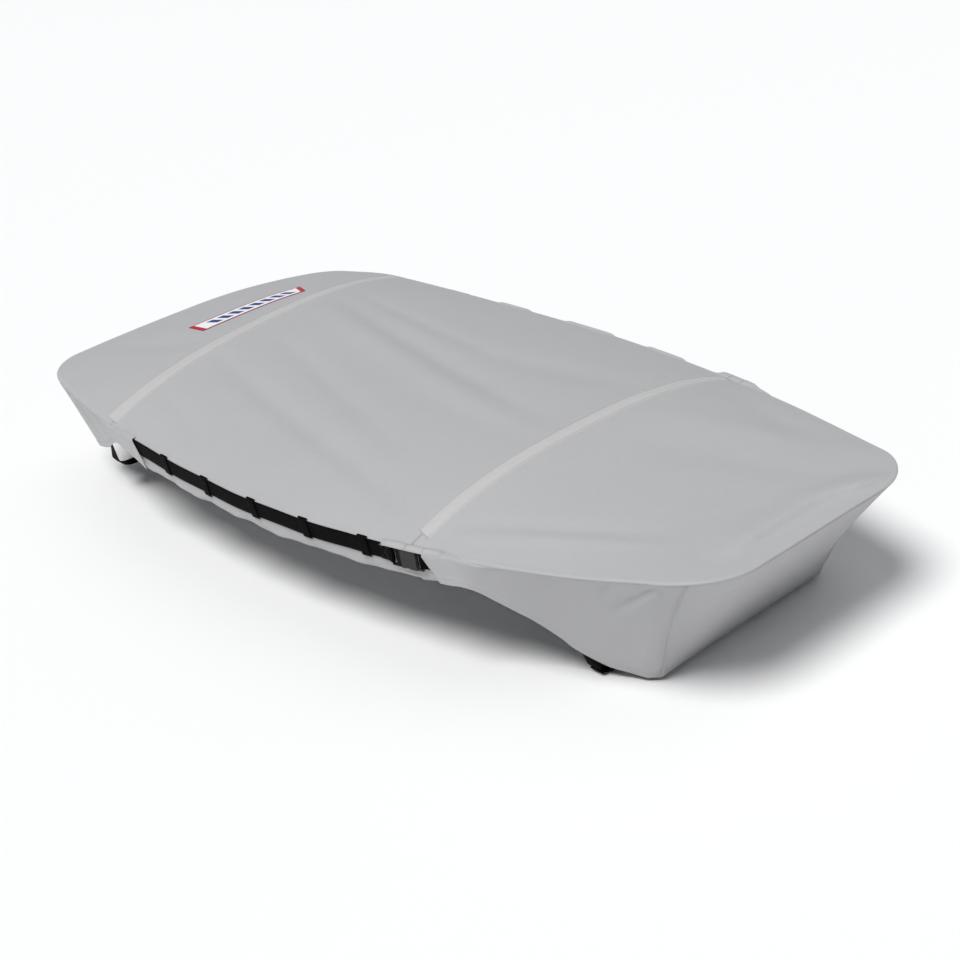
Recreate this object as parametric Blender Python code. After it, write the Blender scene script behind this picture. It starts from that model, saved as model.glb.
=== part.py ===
"""Fitted top cover for a small pram dinghy, as it lies stretched over the hull.

The hull itself is left out, so the cover is a hollow shell. X runs from the stern (-X) to the
bow (+X), Y from starboard (-Y) to port (+Y). The origin is the middle of the hull's gunwale
plane, under the top. Cloth is a surface of the cover's outer face, thickened inwards.
"""
import math

import bpy
import numpy as np


def table(columns, *rows):
    """Rows under named columns, as one array for each column."""
    return dict(zip(columns.split(), np.array(rows, float).T))


# ---- driving dimensions, metres ----
HALF_LENGTH = 1.17
SHEER = 0.029                 # the gunwale rises by this at one metre from the middle
BOW_RADIUS = 0.119
STERN_RADIUS = 0.110
PORT_QUARTER_DROP = 0.030     # the port stern corner lies this much lower

CLOTH = 0.0020
WEBBING = 0.0020
GAP = 0.0006                  # between pieces that touch
SEAM = 0.0004                 # between two cloths sewn edge to edge

RIM_RADIUS = 0.008            # rounding of the top over the gunwale
TURN_DOWN = 0.004             # the top's edge, turned down past the rounding
CROWN_POWER = 2.6
COLUMNS_ACROSS = 22

BAND_WIDTH = 0.040
BAND_ENDS = {"band_stern": (-0.985, 0.985), "band_bow": (-0.938, 0.985)}
STERN_BAND_AT = -0.760
BOW_BAND_AT = 0.489

HULL = table("along half_breadth",
             (-1.17, 0.478), (-0.85, 0.533), (-0.40, 0.567), (0.10, 0.559), (0.60, 0.480), (1.17, 0.313))

# height of the crown over the gunwale, and how far a line across leans with Y
CROWN = table("along height lean",
              (-1.17, 0.005, 0.0), (-1.06, 0.023, 0.0), (STERN_BAND_AT, 0.070, -0.14),
              (-0.13, 0.067, -0.07), (BOW_BAND_AT, 0.076, 0.0), (1.17, 0.001, 0.0))

# soft troughs of the top, and ridges where the depth is negative
FOLDS = table("from_x from_y to_x to_y depth width",
              (-0.74, 0.215, 0.46, -0.060, 0.0070, 0.045),
              (-0.64, 0.300, 0.02, 0.170, 0.0045, 0.036),
              (-0.60, -0.080, 0.46, -0.275, 0.0045, 0.050),
              (-0.66, -0.290, 0.47, -0.450, 0.0050, 0.042),
              (-0.02, 0.220, 0.48, 0.250, 0.0060, 0.060),
              (-0.70, 0.080, 0.40, -0.150, -0.0035, 0.045),
              (-1.10, -0.300, -0.80, -0.180, 0.0035, 0.050),
              (-1.12, 0.300, -0.86, 0.200, 0.0030, 0.060),
              (0.53, -0.420, 0.98, -0.270, 0.0045, 0.030),
              (0.54, 0.400, 1.00, 0.230, 0.0035, 0.045),
              (0.55, -0.060, 1.08, 0.020, 0.0030, 0.080))

# ridge just inside the bow edge, where the cloth breaks over the end of the hull
BOW_RIDGE = {"at": 1.118, "from_y": -0.17, "to_y": 0.25, "height": 0.0060, "width": 0.022}

# skirts: where a line down the skirt leaves the gunwale, and its foot on the hem
# (distance from amidships at both, depth below the gunwale, inset from the gunwale's outline;
# how far its top stands out over belt and strip, and how far its top lies below the gunwale)
TUCKED = RIM_RADIUS + TURN_DOWN + 0.0006
BOW_SKIRT = table("rim along depth inset proud top",
                  (0.518, 0.568, 0.062, -0.0140, 0.0145, 0.001), (0.570, 0.600, 0.0635, -0.0100, 0.0124, 0.001),
                  (0.605, 0.625, 0.067, -0.0020, 0.0030, 0.001), (0.655, 0.652, 0.082, 0.0115, 0.0030, TUCKED),
                  (0.700, 0.678, 0.103, 0.024, 0.0, TUCKED), (0.745, 0.706, 0.126, 0.037, 0.0, TUCKED),
                  (0.800, 0.740, 0.155, 0.053, 0.0, TUCKED), (0.860, 0.775, 0.197, 0.073, 0.0, TUCKED),
                  (0.908, 0.798, 0.227, 0.084, 0.0, TUCKED), (0.966, 0.849, 0.267, 0.102, 0.0, TUCKED),
                  (1.010, 0.890, 0.284, 0.114, 0.0, TUCKED), (1.051, 0.921, 0.295, 0.120, 0.0, TUCKED))
STERN_SKIRT = table("rim along depth inset proud top",
                    (0.549, 0.500, 0.069, -0.0060, 0.0060, 0.001), (0.590, 0.550, 0.058, -0.0058, 0.0058, 0.001),
                    (0.635, 0.605, 0.051, -0.0054, 0.0054, 0.001), (0.672, 0.645, 0.053, -0.0010, 0.0030, 0.001),
                    (0.705, 0.680, 0.062, 0.006, 0.0030, TUCKED), (0.750, 0.725, 0.078, 0.016, 0.0, TUCKED),
                    (0.810, 0.785, 0.106, 0.029, 0.0, TUCKED), (0.862, 0.832, 0.133, 0.037, 0.0, TUCKED),
                    (0.918, 0.882, 0.160, 0.045, 0.0, TUCKED), (0.970, 0.935, 0.182, 0.050, 0.0, TUCKED),
                    (1.020, 0.980, 0.200, 0.054, 0.0, TUCKED), (1.060, 1.020, 0.214, 0.056, 0.0, TUCKED))
BOW_FOOT = {"along": 0.945, "half": 0.250, "below": 0.265}
STERN_FOOT = {"along": 1.045, "half": 0.425, "below": 0.190}
SKIRT_ROWS = 5
SKIRT_SAG = 0.006             # the cloth lies this much hollow between gunwale and hem

STRIP_FROM, STRIP_TO = -0.635, 0.605
STRIP_DEPTH = 0.073
STRIP_INSET = 0.004
SIDE_STEPS = 24

BELT_WIDTH = 0.038
BELT_TOP = {-1: -0.002, 1: -0.014}    # over the gunwale, to starboard and to port
BELT_FROM, BELT_TO = -0.602, 0.588    # the belt's ends, under the skirts
LOOP_PLACES = (-0.392, -0.204, -0.010, 0.176, 0.362)
LOOP_WIDTH = 0.026
LOOP_CLOTH = 0.0015
LOOP_OVER = 0.005             # a loop stands out above and below the belt
LOOP_LEAN = 0.009             # and its lower end lies this much nearer the bow

CLIP_AT, CLIP_LENGTH = 0.447, 0.0270
SOCKET_LENGTH = 0.0580
BUCKLE_WIDTH = 0.052
BAR = 0.0036                  # a buckle's bars and plates
SLOT = 0.010
SOCKET_WALL = 0.0018
FIT = 0.0004                  # between clip and socket
TURN_RADIUS = 0.0041          # of the webbing's middle round a bar
FOLD_BACK = 0.034             # webbing turned back round a buckle's bar

# half of the clip's fork, in the buckle's own frame
FORK = table("along across", (0.0, 0.0260), (0.0270, 0.0260), (0.0270, 0.0200), (0.0422, 0.0228),
             (0.0452, 0.0252), (0.0506, 0.0252), (0.0549, 0.0204), (0.0540, 0.0172),
             (0.0506, 0.0180), (0.0292, 0.0144), (0.0292, 0.0026), (0.0473, 0.0021))
# half of the room for it in the socket
MOUTH = table("along across", (0.0266, 0.0233), (0.0418, 0.0233), (0.0418, 0.0330), (0.0519, 0.0330),
              (0.0557, 0.0222))

# the straps' way under the hull: half across, height, and how far aft of the hem
BOW_STRAP = table("y z aft", (0.320, -0.254, 0.003), (0.314, -0.261, 0.004), (0.306, -0.264, 0.004),
                  (0.150, -0.2650, 0.004), (0.0, -0.266, 0.004))
STERN_STRAP = table("y z aft", (0.480, -0.172, 0.014), (0.462, -0.196, 0.026), (0.440, -0.205, 0.030),
                    (0.200, -0.211, 0.030), (0.0, -0.214, 0.030))
STRAP_BUCKLE_Y = -0.298
STRAP_INSET = 0.125           # a strap's edges lie this share in from the skirt's lines beside it

LABEL_FROM, LABEL_TO = -0.968, -0.888
LABEL_PORT, LABEL_STARBOARD = 0.245, -0.123
LABEL_SLANT = 0.028
LABEL_THICK = 0.001

COLOURS = {
    "cloth": ((0.49, 0.49, 0.50), 0.75),
    "band": ((0.54, 0.54, 0.52), 0.70),
    "webbing": ((0.010, 0.010, 0.009), 0.60),
    "plastic": ((0.030, 0.030, 0.032), 0.40),
    "label": ((0.80, 0.80, 0.80), 0.50),
}


# ---- shape of the hull's rim and of the top ----
def smooth(rows, column, at):
    """Value of a column at a place along, on a cubic curve through the rows."""
    x, y = rows["along"], rows[column]
    slope = np.gradient(y, x)
    i = int(np.clip(np.searchsorted(x, at) - 1, 0, len(x) - 2))
    span = x[i + 1] - x[i]
    t = min(max((at - x[i]) / span, 0.0), 1.0)
    start = (2 * t**3 - 3 * t**2 + 1) * y[i] + (t**3 - 2 * t**2 + t) * span * slope[i]
    end = (3 * t**2 - 2 * t**3) * y[i + 1] + (t**3 - t**2) * span * slope[i + 1]
    return float(start + end)


def ramp(value, low, high):
    """Smooth step from 0 at low to 1 at high."""
    t = min(max((value - low) / (high - low), 0.0), 1.0)
    return t * t * (3 - 2 * t)


def half_breadth(x, inset=0.0):
    """Half the cover's width at x, with the four corners rounded."""
    half = smooth(HULL, "half_breadth", x) - inset
    radius = (BOW_RADIUS if x > 0 else STERN_RADIUS) - inset
    to_end = max(HALF_LENGTH - inset - abs(x), 0.0)
    if to_end < radius:
        half -= radius - math.sqrt(max(radius**2 - (radius - to_end)**2, 0.0))
    return half


def rim_height(x, y):
    """Height of the gunwale."""
    across = min(max(y / half_breadth(x), 0.0), 1.0)
    drop = PORT_QUARTER_DROP * ramp(-x, 0.85, HALF_LENGTH) * across**2
    return SHEER * x * x - drop


def rim_normal(x, side, inset=0.0):
    """Outward direction of the gunwale's outline, in plan."""
    step = 0.0005
    if HALF_LENGTH - inset - abs(x) < step:
        return np.array((math.copysign(1.0, x), 0.0, 0.0))
    slope = (half_breadth(x + step, inset) - half_breadth(x - step, inset)) / (2 * step)
    normal = np.array((-slope, side, 0.0))
    return normal / np.linalg.norm(normal)


def fold_depth(x, y):
    """How far the cloth lies below its plain crowned shape."""
    depth = 0.0
    for from_x, from_y, to_x, to_y, deep, width in zip(*FOLDS.values()):
        s = (x - from_x) / (to_x - from_x)
        if 0.0 < s < 1.0:
            across = (y - from_y - s * (to_y - from_y)) / width
            depth += deep * math.sin(math.pi * s)**0.6 * math.exp(-across**2)
    ridge = BOW_RIDGE
    along = ramp(y, ridge["from_y"], ridge["from_y"] + 0.05) * (1 - ramp(y, ridge["to_y"] - 0.06, ridge["to_y"]))
    return depth - ridge["height"] * along * math.exp(-((x - ridge["at"]) / ridge["width"])**2)


def top_point(station, t):
    """A point of the top: station on the centre line, t from -1 (starboard) to 1 (port)."""
    lean = np.interp(station, CROWN["along"], CROWN["lean"])
    x = station
    for _ in range(3):
        y = t * half_breadth(x, RIM_RADIUS)
        x = station + lean * y
    crown = np.interp(station, CROWN["along"], CROWN["height"])
    flat = 1 - abs(t)**CROWN_POWER
    return np.array((x, y, rim_height(x, y) + crown * flat - fold_depth(x, y) * min(1.0, 4 * flat)))


def top_normal(station, t):
    """Upward direction of the top."""
    step = 0.004
    along = top_point(station + step, t) - top_point(station - step, t)
    across = top_point(station, min(t + step, 1.0)) - top_point(station, max(t - step, -1.0))
    normal = np.cross(along, across)
    return normal / np.linalg.norm(normal)


def side_point(x, side, out, height):
    """A point by the side: out from the gunwale's outline, height over the gunwale."""
    edge = np.array((x, side * half_breadth(x), rim_height(x, side * half_breadth(x)) + height))
    return edge + rim_normal(x, side) * out


# ---- making objects ----
def material(name):
    made = bpy.data.materials.get(name)
    if made is None:
        colour, roughness = COLOURS[name]
        made = bpy.data.materials.new(name)
        made.use_nodes = True
        shader = made.node_tree.nodes["Principled BSDF"]
        shader.inputs["Base Color"].default_value = (*colour, 1.0)
        shader.inputs["Roughness"].default_value = roughness
        shader.inputs["Metallic"].default_value = 0.0
    return made


def make_object(name, points, faces, finish):
    mesh = bpy.data.meshes.new(name)
    mesh.from_pydata([tuple(float(c) for c in p) for p in points], [], faces)
    mesh.validate()
    mesh.materials.append(material(finish))
    piece = bpy.data.objects.new(name, mesh)
    bpy.context.scene.collection.objects.link(piece)
    return piece


def thicken(piece, thickness):
    """Turn an outer face into a cloth, its thickness inwards."""
    solidify = piece.modifiers.new("thickness", "SOLIDIFY")
    solidify.thickness = thickness
    solidify.offset = -1.0
    return piece


def halves(a, b, c, d):
    """A four-cornered face as two triangles, cut the same way on both sides of a sheet."""
    return [(a, b, c), (a, c, d)]


def grid_faces(rows, columns):
    faces = []
    for i in range(rows - 1):
        for j in range(columns - 1):
            near, far = i * columns + j, (i + 1) * columns + j
            faces += halves(near, far, far + 1, near + 1)
    return faces


def sheet(name, grid, finish, thickness):
    """Cloth over a grid of points whose first and second directions face outwards."""
    rows, columns = len(grid), len(grid[0])
    points = [p for row in grid for p in row]
    return thicken(make_object(name, points, grid_faces(rows, columns), finish), thickness)


def ribbon(name, edge_a, edge_b, thickness, finish):
    """Webbing between two edge curves, closed at its ends."""
    a, b = np.array(edge_a), np.array(edge_b)
    middle = (a + b) / 2
    along = np.gradient(middle, axis=0)
    normal = np.cross(b - a, along)
    normal /= np.linalg.norm(normal, axis=1)[:, None]
    half = normal * thickness / 2
    points = np.stack([a + half, b + half, b - half, a - half], axis=1).reshape(-1, 3)
    faces = []
    for k in range(0, 4 * (len(a) - 1), 4):
        faces += halves(k, k + 1, k + 5, k + 4)
        faces += [(k + 1, k + 2, k + 6, k + 5), (k + 3, k, k + 4, k + 7)]
        faces += [(k + 3, k + 7, k + 6), (k + 3, k + 6, k + 2)]
    last = 4 * (len(a) - 1)
    faces += [(3, 2, 1, 0), (last, last + 1, last + 2, last + 3)]
    return make_object(name, points, faces, finish)


# ---- top panels and bands ----
def corner_stations(radius, count=4):
    """Distances from the end, by even steps round a corner."""
    turned = radius - RIM_RADIUS
    return [turned * (1 - math.cos(math.pi / 2 * k / count)) for k in range(count + 1)]


def spaced(start, end, count):
    return list(np.linspace(start, end, count + 1))


def top_panel(name, stations, stern_end=False, bow_end=False):
    """One panel of the top, with its edge rounded over the gunwale and turned down."""
    across = np.linspace(-1, 1, COLUMNS_ACROSS + 1)
    columns = len(across)
    points = [top_point(s, t) for s in stations for t in across]
    faces = grid_faces(len(stations), columns)
    last = len(stations) - 1
    starboard = [(i, 0) for i in range(last + 1)]
    port = [(i, columns - 1) for i in range(last, -1, -1)]
    if bow_end:
        runs = [starboard + [(last, j) for j in range(1, columns - 1)] + port]
    elif stern_end:
        runs = [port + [(0, j) for j in range(columns - 2, 0, -1)] + starboard]
    else:
        runs = [starboard, port]
    for run in runs:
        rings = [[i * columns + j for i, j in run]]
        for out, down in ((math.sin(math.pi / 4), 1 - math.cos(math.pi / 4)), (1.0, 1.0), (1.0, None)):
            ring = []
            for i, j in run:
                base = points[i * columns + j]
                if abs(across[j]) < 1:
                    normal = np.array((1.0 if bow_end else -1.0, 0.0, 0.0))
                else:
                    normal = rim_normal(base[0], across[j], RIM_RADIUS)
                drop = RIM_RADIUS + TURN_DOWN if down is None else RIM_RADIUS * down
                point = base + normal * RIM_RADIUS * out
                point[2] += rim_height(point[0], point[1]) - rim_height(base[0], base[1]) - drop
                ring.append(len(points))
                points.append(point)
            rings.append(ring)
        for upper, lower in zip(rings, rings[1:]):
            for k in range(len(run) - 1):
                faces += halves(upper[k], lower[k], lower[k + 1], upper[k + 1])
    return thicken(make_object(name, points, faces, "cloth"), CLOTH)


def make_top():
    half = BAND_WIDTH / 2
    stern_corner = [-(HALF_LENGTH - RIM_RADIUS) + d for d in corner_stations(STERN_RADIUS)]
    bow_corner = [HALF_LENGTH - RIM_RADIUS - d for d in reversed(corner_stations(BOW_RADIUS))]
    stern_band = (STERN_BAND_AT - half, STERN_BAND_AT + half)
    bow_band = (BOW_BAND_AT - half, BOW_BAND_AT + half)
    top_panel("top_stern", stern_corner[:-1] + spaced(stern_corner[-1], stern_band[0], 5)
              + [STERN_BAND_AT - SEAM / 2], stern_end=True)
    top_panel("top_middle", [STERN_BAND_AT + SEAM / 2] + spaced(stern_band[1], bow_band[0], 21)
              + [BOW_BAND_AT - SEAM / 2])
    top_panel("top_bow", [BOW_BAND_AT + SEAM / 2] + spaced(bow_band[1], bow_corner[0], 10)
              + bow_corner[1:], bow_end=True)


def lifted(station, t, height):
    return top_point(station, t) + top_normal(station, t) * height


def make_bands():
    """The two flat bands sewn over the seams of the top."""
    for name, at in (("band_stern", STERN_BAND_AT), ("band_bow", BOW_BAND_AT)):
        starboard, port = BAND_ENDS[name]
        across = [starboard, *np.linspace(-1, 1, COLUMNS_ACROSS + 1)[1:-1], port]
        lines = (at - BAND_WIDTH / 2, at, at + BAND_WIDTH / 2)
        grid = [[lifted(s, t, GAP + CLOTH) for t in across] for s in lines]
        sheet(name, grid, "band", CLOTH)


def make_label():
    """Plain label plate sewn to the stern panel."""
    grid = []
    for x in np.linspace(LABEL_FROM, LABEL_TO, 3):
        port = LABEL_PORT - LABEL_SLANT * (x - LABEL_FROM) / (LABEL_TO - LABEL_FROM)
        row = []
        for y in np.linspace(LABEL_STARBOARD, port, 13):
            station = x
            for _ in range(12):
                station = x - np.interp(station, CROWN["along"], CROWN["lean"]) * y
            row.append(lifted(station, y / half_breadth(x, RIM_RADIUS), GAP + LABEL_THICK))
        grid.append(row)
    sheet("label_plate", grid, "label", LABEL_THICK)


# ---- skirts and end panels ----
def skirt_column(rim, normal, foot, proud, top, sag):
    """Points down a skirt: a short upright edge, then a slightly hollow run to the hem."""
    upper = rim + normal * proud - np.array((0, 0, top))
    start = upper - np.array((0, 0, 0.006))
    column = [upper]
    for k in range(SKIRT_ROWS):
        v = k / (SKIRT_ROWS - 1)
        hollow = 4 * v * (1 - v) * sag * ramp(rim[2] - foot[2], 0.07, 0.20)
        column.append(start + (foot - start) * v - normal * hollow)
    return column


def side_columns(rows, end, side):
    """Lines down a side skirt, from its free front edge to the corner."""
    columns = []
    for rim_at, along, depth, inset, proud, top in zip(*rows.values()):
        x, foot_x = end * rim_at, end * along
        foot_half = smooth(HULL, "half_breadth", foot_x) - inset
        foot = np.array((foot_x, side * foot_half, rim_height(foot_x, side * foot_half) - depth))
        sag = SKIRT_SAG * (1 - ramp(rim_at, 0.90, 1.06))
        columns.append(skirt_column(side_point(x, side, 0.0, 0.0), rim_normal(x, side), foot, proud, top, sag))
    return columns


def end_columns(end, radius, foot):
    """Lines down an end panel from its starboard seam to its port seam."""
    x_end = end * HALF_LENGTH
    half = half_breadth(x_end)
    crown = np.interp(x_end, CROWN["along"], CROWN["height"])
    arc = [end * (HALF_LENGTH - radius + radius * math.sin(math.pi / 2 * k / 4)) for k in range(1, 5)]
    rims = [(side_point(x, -1, 0.0, 0.0), rim_normal(x, -1)) for x in arc]
    for y in np.linspace(-half, half, 9)[1:-1]:
        height = rim_height(x_end, y) + crown * (1 - abs(y / half)**CROWN_POWER)
        rims.append((np.array((x_end, y, height)), np.array((end, 0.0, 0.0))))
    rims += [(side_point(x, 1, 0.0, 0.0), rim_normal(x, 1)) for x in reversed(arc)]
    steps = [0.0] + [np.linalg.norm(b[0] - a[0]) for a, b in zip(rims, rims[1:])]
    columns = []
    for (rim, normal), share in zip(rims, np.cumsum(steps) / sum(steps)):
        below = foot["below"] + (PORT_QUARTER_DROP * share**2 if end < 0 else 0.0)
        point = np.array((end * foot["along"], foot["half"] * (2 * share - 1), -below))
        sag = SKIRT_SAG * math.sin(math.pi * share)
        columns.append(skirt_column(rim, normal, point, 0.0, TUCKED, sag))
    return columns


def surface_normals(grid):
    """Outward directions of a grid of points whose columns run round the outside."""
    grid = np.array(grid)
    faces = np.cross(grid[1:, 1:] - grid[:-1, :-1], grid[:-1, 1:] - grid[1:, :-1])
    faces /= np.linalg.norm(faces, axis=2)[:, :, None]
    total = np.zeros_like(grid)
    for i in (slice(None, -1), slice(1, None)):
        for j in (slice(None, -1), slice(1, None)):
            total[i, j] += faces
    return total / np.linalg.norm(total, axis=2)[:, :, None]


def slab(name, outer, inner, finish):
    """Closed solid between an outer and an inner grid of points."""
    rows, columns = outer.shape[:2]
    count = rows * columns
    points = list(outer.reshape(-1, 3)) + list(inner.reshape(-1, 3))
    faces = grid_faces(rows, columns)
    faces += [tuple(count + c for c in reversed(face)) for face in faces]
    border = [(0, j) for j in range(columns)] + [(i, columns - 1) for i in range(1, rows)]
    border += [(rows - 1, j) for j in range(columns - 2, -1, -1)] + [(i, 0) for i in range(rows - 2, 0, -1)]
    ring = [i * columns + j for i, j in border]
    faces += [(a, b, b + count, a + count) for a, b in zip(ring, ring[1:] + ring[:1])]
    return make_object(name, points, faces, finish)


def make_skirts():
    """Side skirts and end panels; returns the side skirts' lines by end and side."""
    made = {}
    for label, rows, end, radius, foot in (("bow", BOW_SKIRT, 1, BOW_RADIUS, BOW_FOOT),
                                           ("stern", STERN_SKIRT, -1, STERN_RADIUS, STERN_FOOT)):
        starboard, port = (side_columns(rows, end, side) for side in (-1, 1))
        made[label, -1], made[label, 1] = starboard, port
        across = end_columns(end, radius, foot)
        walk = starboard + across + port[::-1]
        if end > 0:
            walk = walk[::-1]
        outer = np.array(walk)                       # one grid all round the end
        normals = surface_normals(outer)
        inner = outer - normals * CLOTH * 1.05
        first, last = len(rows["rim"]), len(walk) - 1 - len(rows["rim"])
        names = [f"skirt_{label}_starboard", f"panel_{label}_end", f"skirt_{label}_port"]
        if end > 0:
            names.reverse()
        for name, low, high in zip(names, (0, first, last), (first, last, len(walk) - 1)):
            faces = [outer[low:high + 1].copy(), inner[low:high + 1].copy()]
            for face in faces:
                for index, step in ((0, 1), (-1, -1)):
                    if (low, high)[index] not in (0, len(walk) - 1):
                        away = face[index + step] - face[index]
                        face[index] += away / np.linalg.norm(away, axis=1)[:, None] * SEAM / 2
            slab(name, faces[0], faces[1], "cloth")
    return made


# ---- side strips, belts, loops and buckles ----
def sides():
    return ((-1, "starboard"), (1, "port"))


def strip_depth(x):
    wave = 0.002 * math.sin(17 * x + 0.6) + 0.0015 * math.sin(41 * x)
    shallow = 0.022 * (1 - ramp(x, -0.57, -0.50)) + 0.006 * ramp(x, 0.40, 0.50) * (1 - ramp(x, 0.51, 0.52))
    deeper = 0.005 * (1 - ramp(abs(x + 0.485), 0.0, 0.05))
    return STRIP_DEPTH + wave - shallow + deeper - 0.006 * ramp(x, 0.56, 0.60)


def make_strips():
    """Shallow cloth strips between the skirts, under the belts."""
    top = RIM_RADIUS + TURN_DOWN + SEAM
    for side, side_name in sides():
        grid = []
        for share in (None, 0.0, 0.55, 1.0):
            row = []
            for x in np.linspace(STRIP_FROM, STRIP_TO, SIDE_STEPS + 1):
                depth = top if share is None else top + 0.006 + (strip_depth(x) - top - 0.006) * share
                inset = 0.0 if share is None else STRIP_INSET * share**2
                row.append(side_point(x, side, -inset, -depth))
            grid.append(row if side < 0 else row[::-1])
        sheet(f"strip_{side_name}", grid, "cloth", CLOTH)


def side_buckle_frame(side):
    """Where a side buckle sits: the back of its clip's bar, its direction along and outwards."""
    out_to_back = GAP + WEBBING / 2 + TURN_RADIUS - BAR / 2
    ends = [side_point(x, side, out_to_back, BELT_TOP[side] - BELT_WIDTH / 2)
            for x in (CLIP_AT, CLIP_AT + CLIP_LENGTH + SOCKET_LENGTH)]
    along = (ends[1] - ends[0]) / np.linalg.norm(ends[1] - ends[0])
    out = np.cross(along, (0.0, 0.0, -side))
    return ends[0], along, out / np.linalg.norm(out)


def belt_edges(side, places):
    """Lower and upper edge of webbing on edge along the side, for places along and out."""
    edges = [[], []]
    for x, out in places:
        wave = 0.0012 * math.sin(23 * x) * (1 - ramp(x, 0.30, 0.39))
        for edge, height in zip(edges, (BELT_TOP[side] - BELT_WIDTH, BELT_TOP[side])):
            edge.append(side_point(x, side, out, height + wave))
    return edges


def turned_edges(frame, side, bar, direction):
    """Lower and upper edge of webbing turned round a buckle's bar."""
    origin, along, out = frame
    up = np.cross(along, out) * side
    edges = [[], []]
    for x, y in turn(bar, BAR / 2, direction):
        for edge, height in zip(edges, (-BELT_WIDTH / 2, BELT_WIDTH / 2)):
            edge.append(origin + along * x + out * y + up * height)
    return edges


def turn(bar, out, direction, count=4):
    """Places along and out for webbing round a bar, from the cloth's side to the outer side."""
    path = []
    for k in range(count + 1):
        angle = math.pi * k / count
        path.append((bar + direction * TURN_RADIUS * math.sin(angle), out - TURN_RADIUS * math.cos(angle)))
    return path


def make_belts():
    """Each belt runs to a buckle's bar, round it and back; its end runs on under the bow skirt."""
    lie = GAP + WEBBING / 2
    second = lie + WEBBING + GAP
    socket_bar = CLIP_LENGTH + FIT + SOCKET_LENGTH - BAR / 2
    for side, side_name in sides():
        frame = side_buckle_frame(side)
        at_bar = (frame[0] + frame[1] * BAR / 2)[0]
        parts = (belt_edges(side, [(x, lie) for x in np.linspace(BELT_FROM, at_bar - 0.012, SIDE_STEPS - 2)]),
                 turned_edges(frame, side, BAR / 2, 1),
                 belt_edges(side, [(at_bar - 0.016, second + 0.0008), (at_bar - FOLD_BACK, second)]))
        edges = [sum((part[k] for part in parts), []) for k in (0, 1)]
        ribbon(f"belt_{side_name}", edges[0], edges[1], WEBBING, "webbing")
        at_bar = (frame[0] + frame[1] * socket_bar)[0]
        parts = (belt_edges(side, [(x, lie) for x in (BELT_TO, at_bar + 0.030, at_bar + 0.012)]),
                 turned_edges(frame, side, socket_bar, -1),
                 belt_edges(side, [(at_bar + 0.016, second + 0.0008), (at_bar + FOLD_BACK, second)]))
        edges = [sum((part[k] for part in parts), []) for k in (0, 1)]
        ribbon(f"belt_end_{side_name}", edges[0], edges[1], WEBBING, "webbing")


def make_loops():
    """Short webbing loops sewn to the side strips, which carry the belts."""
    face = 2 * GAP + WEBBING + LOOP_CLOTH / 2
    for side, side_name in sides():
        low = BELT_TOP[side] - BELT_WIDTH - LOOP_OVER
        high = BELT_TOP[side] + LOOP_OVER
        section = [(GAP + LOOP_CLOTH / 2 - STRIP_INSET * 0.35, low), (face - 0.0006, low), (face, low + 0.0012),
                   (face, high - 0.0012), (face - 0.0008, high)]
        if high > 0:                     # turned in over the top's edge, or ending against it
            section += [(-0.0002, high), (-0.0014, high - 0.0030)]
        else:
            section += [(GAP + LOOP_CLOTH / 2, high)]
        for number, at in enumerate(LOOP_PLACES, 1):
            edges = []
            for x in (at - LOOP_WIDTH / 2, at + LOOP_WIDTH / 2):
                edges.append([side_point(x + LOOP_LEAN * (high - height) / (high - low), side, out, height)
                              for out, height in section])
            ribbon(f"loop_{side_name}_{number}", edges[0], edges[1], LOOP_CLOTH, "webbing")


def prism(name, outline, low, high):
    """A plan outline in the buckle's own frame, mirrored about its middle and given a depth."""
    outline = list(outline)
    outline = [(x, -z) for x, z in outline] + [(x, z) for x, z in reversed(outline)]
    count = len(outline)
    points = [(x, y, z) for y in (low, high) for x, z in outline]
    faces = [tuple(range(count)), tuple(range(2 * count - 1, count - 1, -1))]
    faces += [((k + 1) % count, k, k + count, (k + 1) % count + count) for k in range(count)]
    return make_object(name, points, faces, "plastic")


def block(start, end, half):
    return ((start, half), (end, half))


def combine(piece, others, operation):
    for other in others:
        other.hide_render = True
        other.display_type = "WIRE"
        boolean = piece.modifiers.new(other.name, "BOOLEAN")
        boolean.operation = operation
        boolean.solver = "EXACT"
        boolean.object = other


def make_buckle(suffix, origin, along, out):
    """Side-release buckle: a forked clip in its socket, each with a bar for the webbing.

    In its own frame X runs from clip to socket, Y is out from the cloth and Z is across.
    """
    half = BUCKLE_WIDTH / 2
    lip = half - 0.0055                              # the webbing's slots end here
    clip = prism(f"buckle_clip_{suffix}", zip(FORK["along"], FORK["across"]), 0, BAR)
    clip_slot = prism(f"clip_slot_{suffix}", block(BAR, BAR + SLOT, lip), -0.01, 0.02)
    combine(clip, [clip_slot], "DIFFERENCE")
    start = CLIP_LENGTH + FIT
    end = start + SOCKET_LENGTH
    body_end = end - BAR - SLOT - 0.002
    low, high = -FIT - SOCKET_WALL, BAR + FIT + SOCKET_WALL
    socket = prism(f"buckle_socket_{suffix}", block(body_end - 0.004, end, half - 0.0004), 0, BAR)
    body = prism(f"body_{suffix}", ((start, half), (start + 0.009, half), (start + 0.0125, half - 0.0014),
                                    (start + 0.0205, half - 0.0014), (start + 0.024, half), (body_end, half)),
                 low, high)
    room = prism(f"room_{suffix}", zip(MOUTH["along"], MOUTH["across"]), -FIT, BAR + FIT)
    socket_slot = prism(f"socket_slot_{suffix}", block(end - BAR - SLOT, end - BAR, lip), -0.01, 0.02)
    combine(socket, [body], "UNION")
    combine(socket, [room, socket_slot], "DIFFERENCE")
    across = np.cross(along, out)
    rotation = np.array((along, out, across)).T
    for each in (clip, clip_slot, socket, body, room, socket_slot):
        for vertex in each.data.vertices:
            vertex.co = [float(c) for c in origin + rotation @ np.array(vertex.co)]


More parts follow.
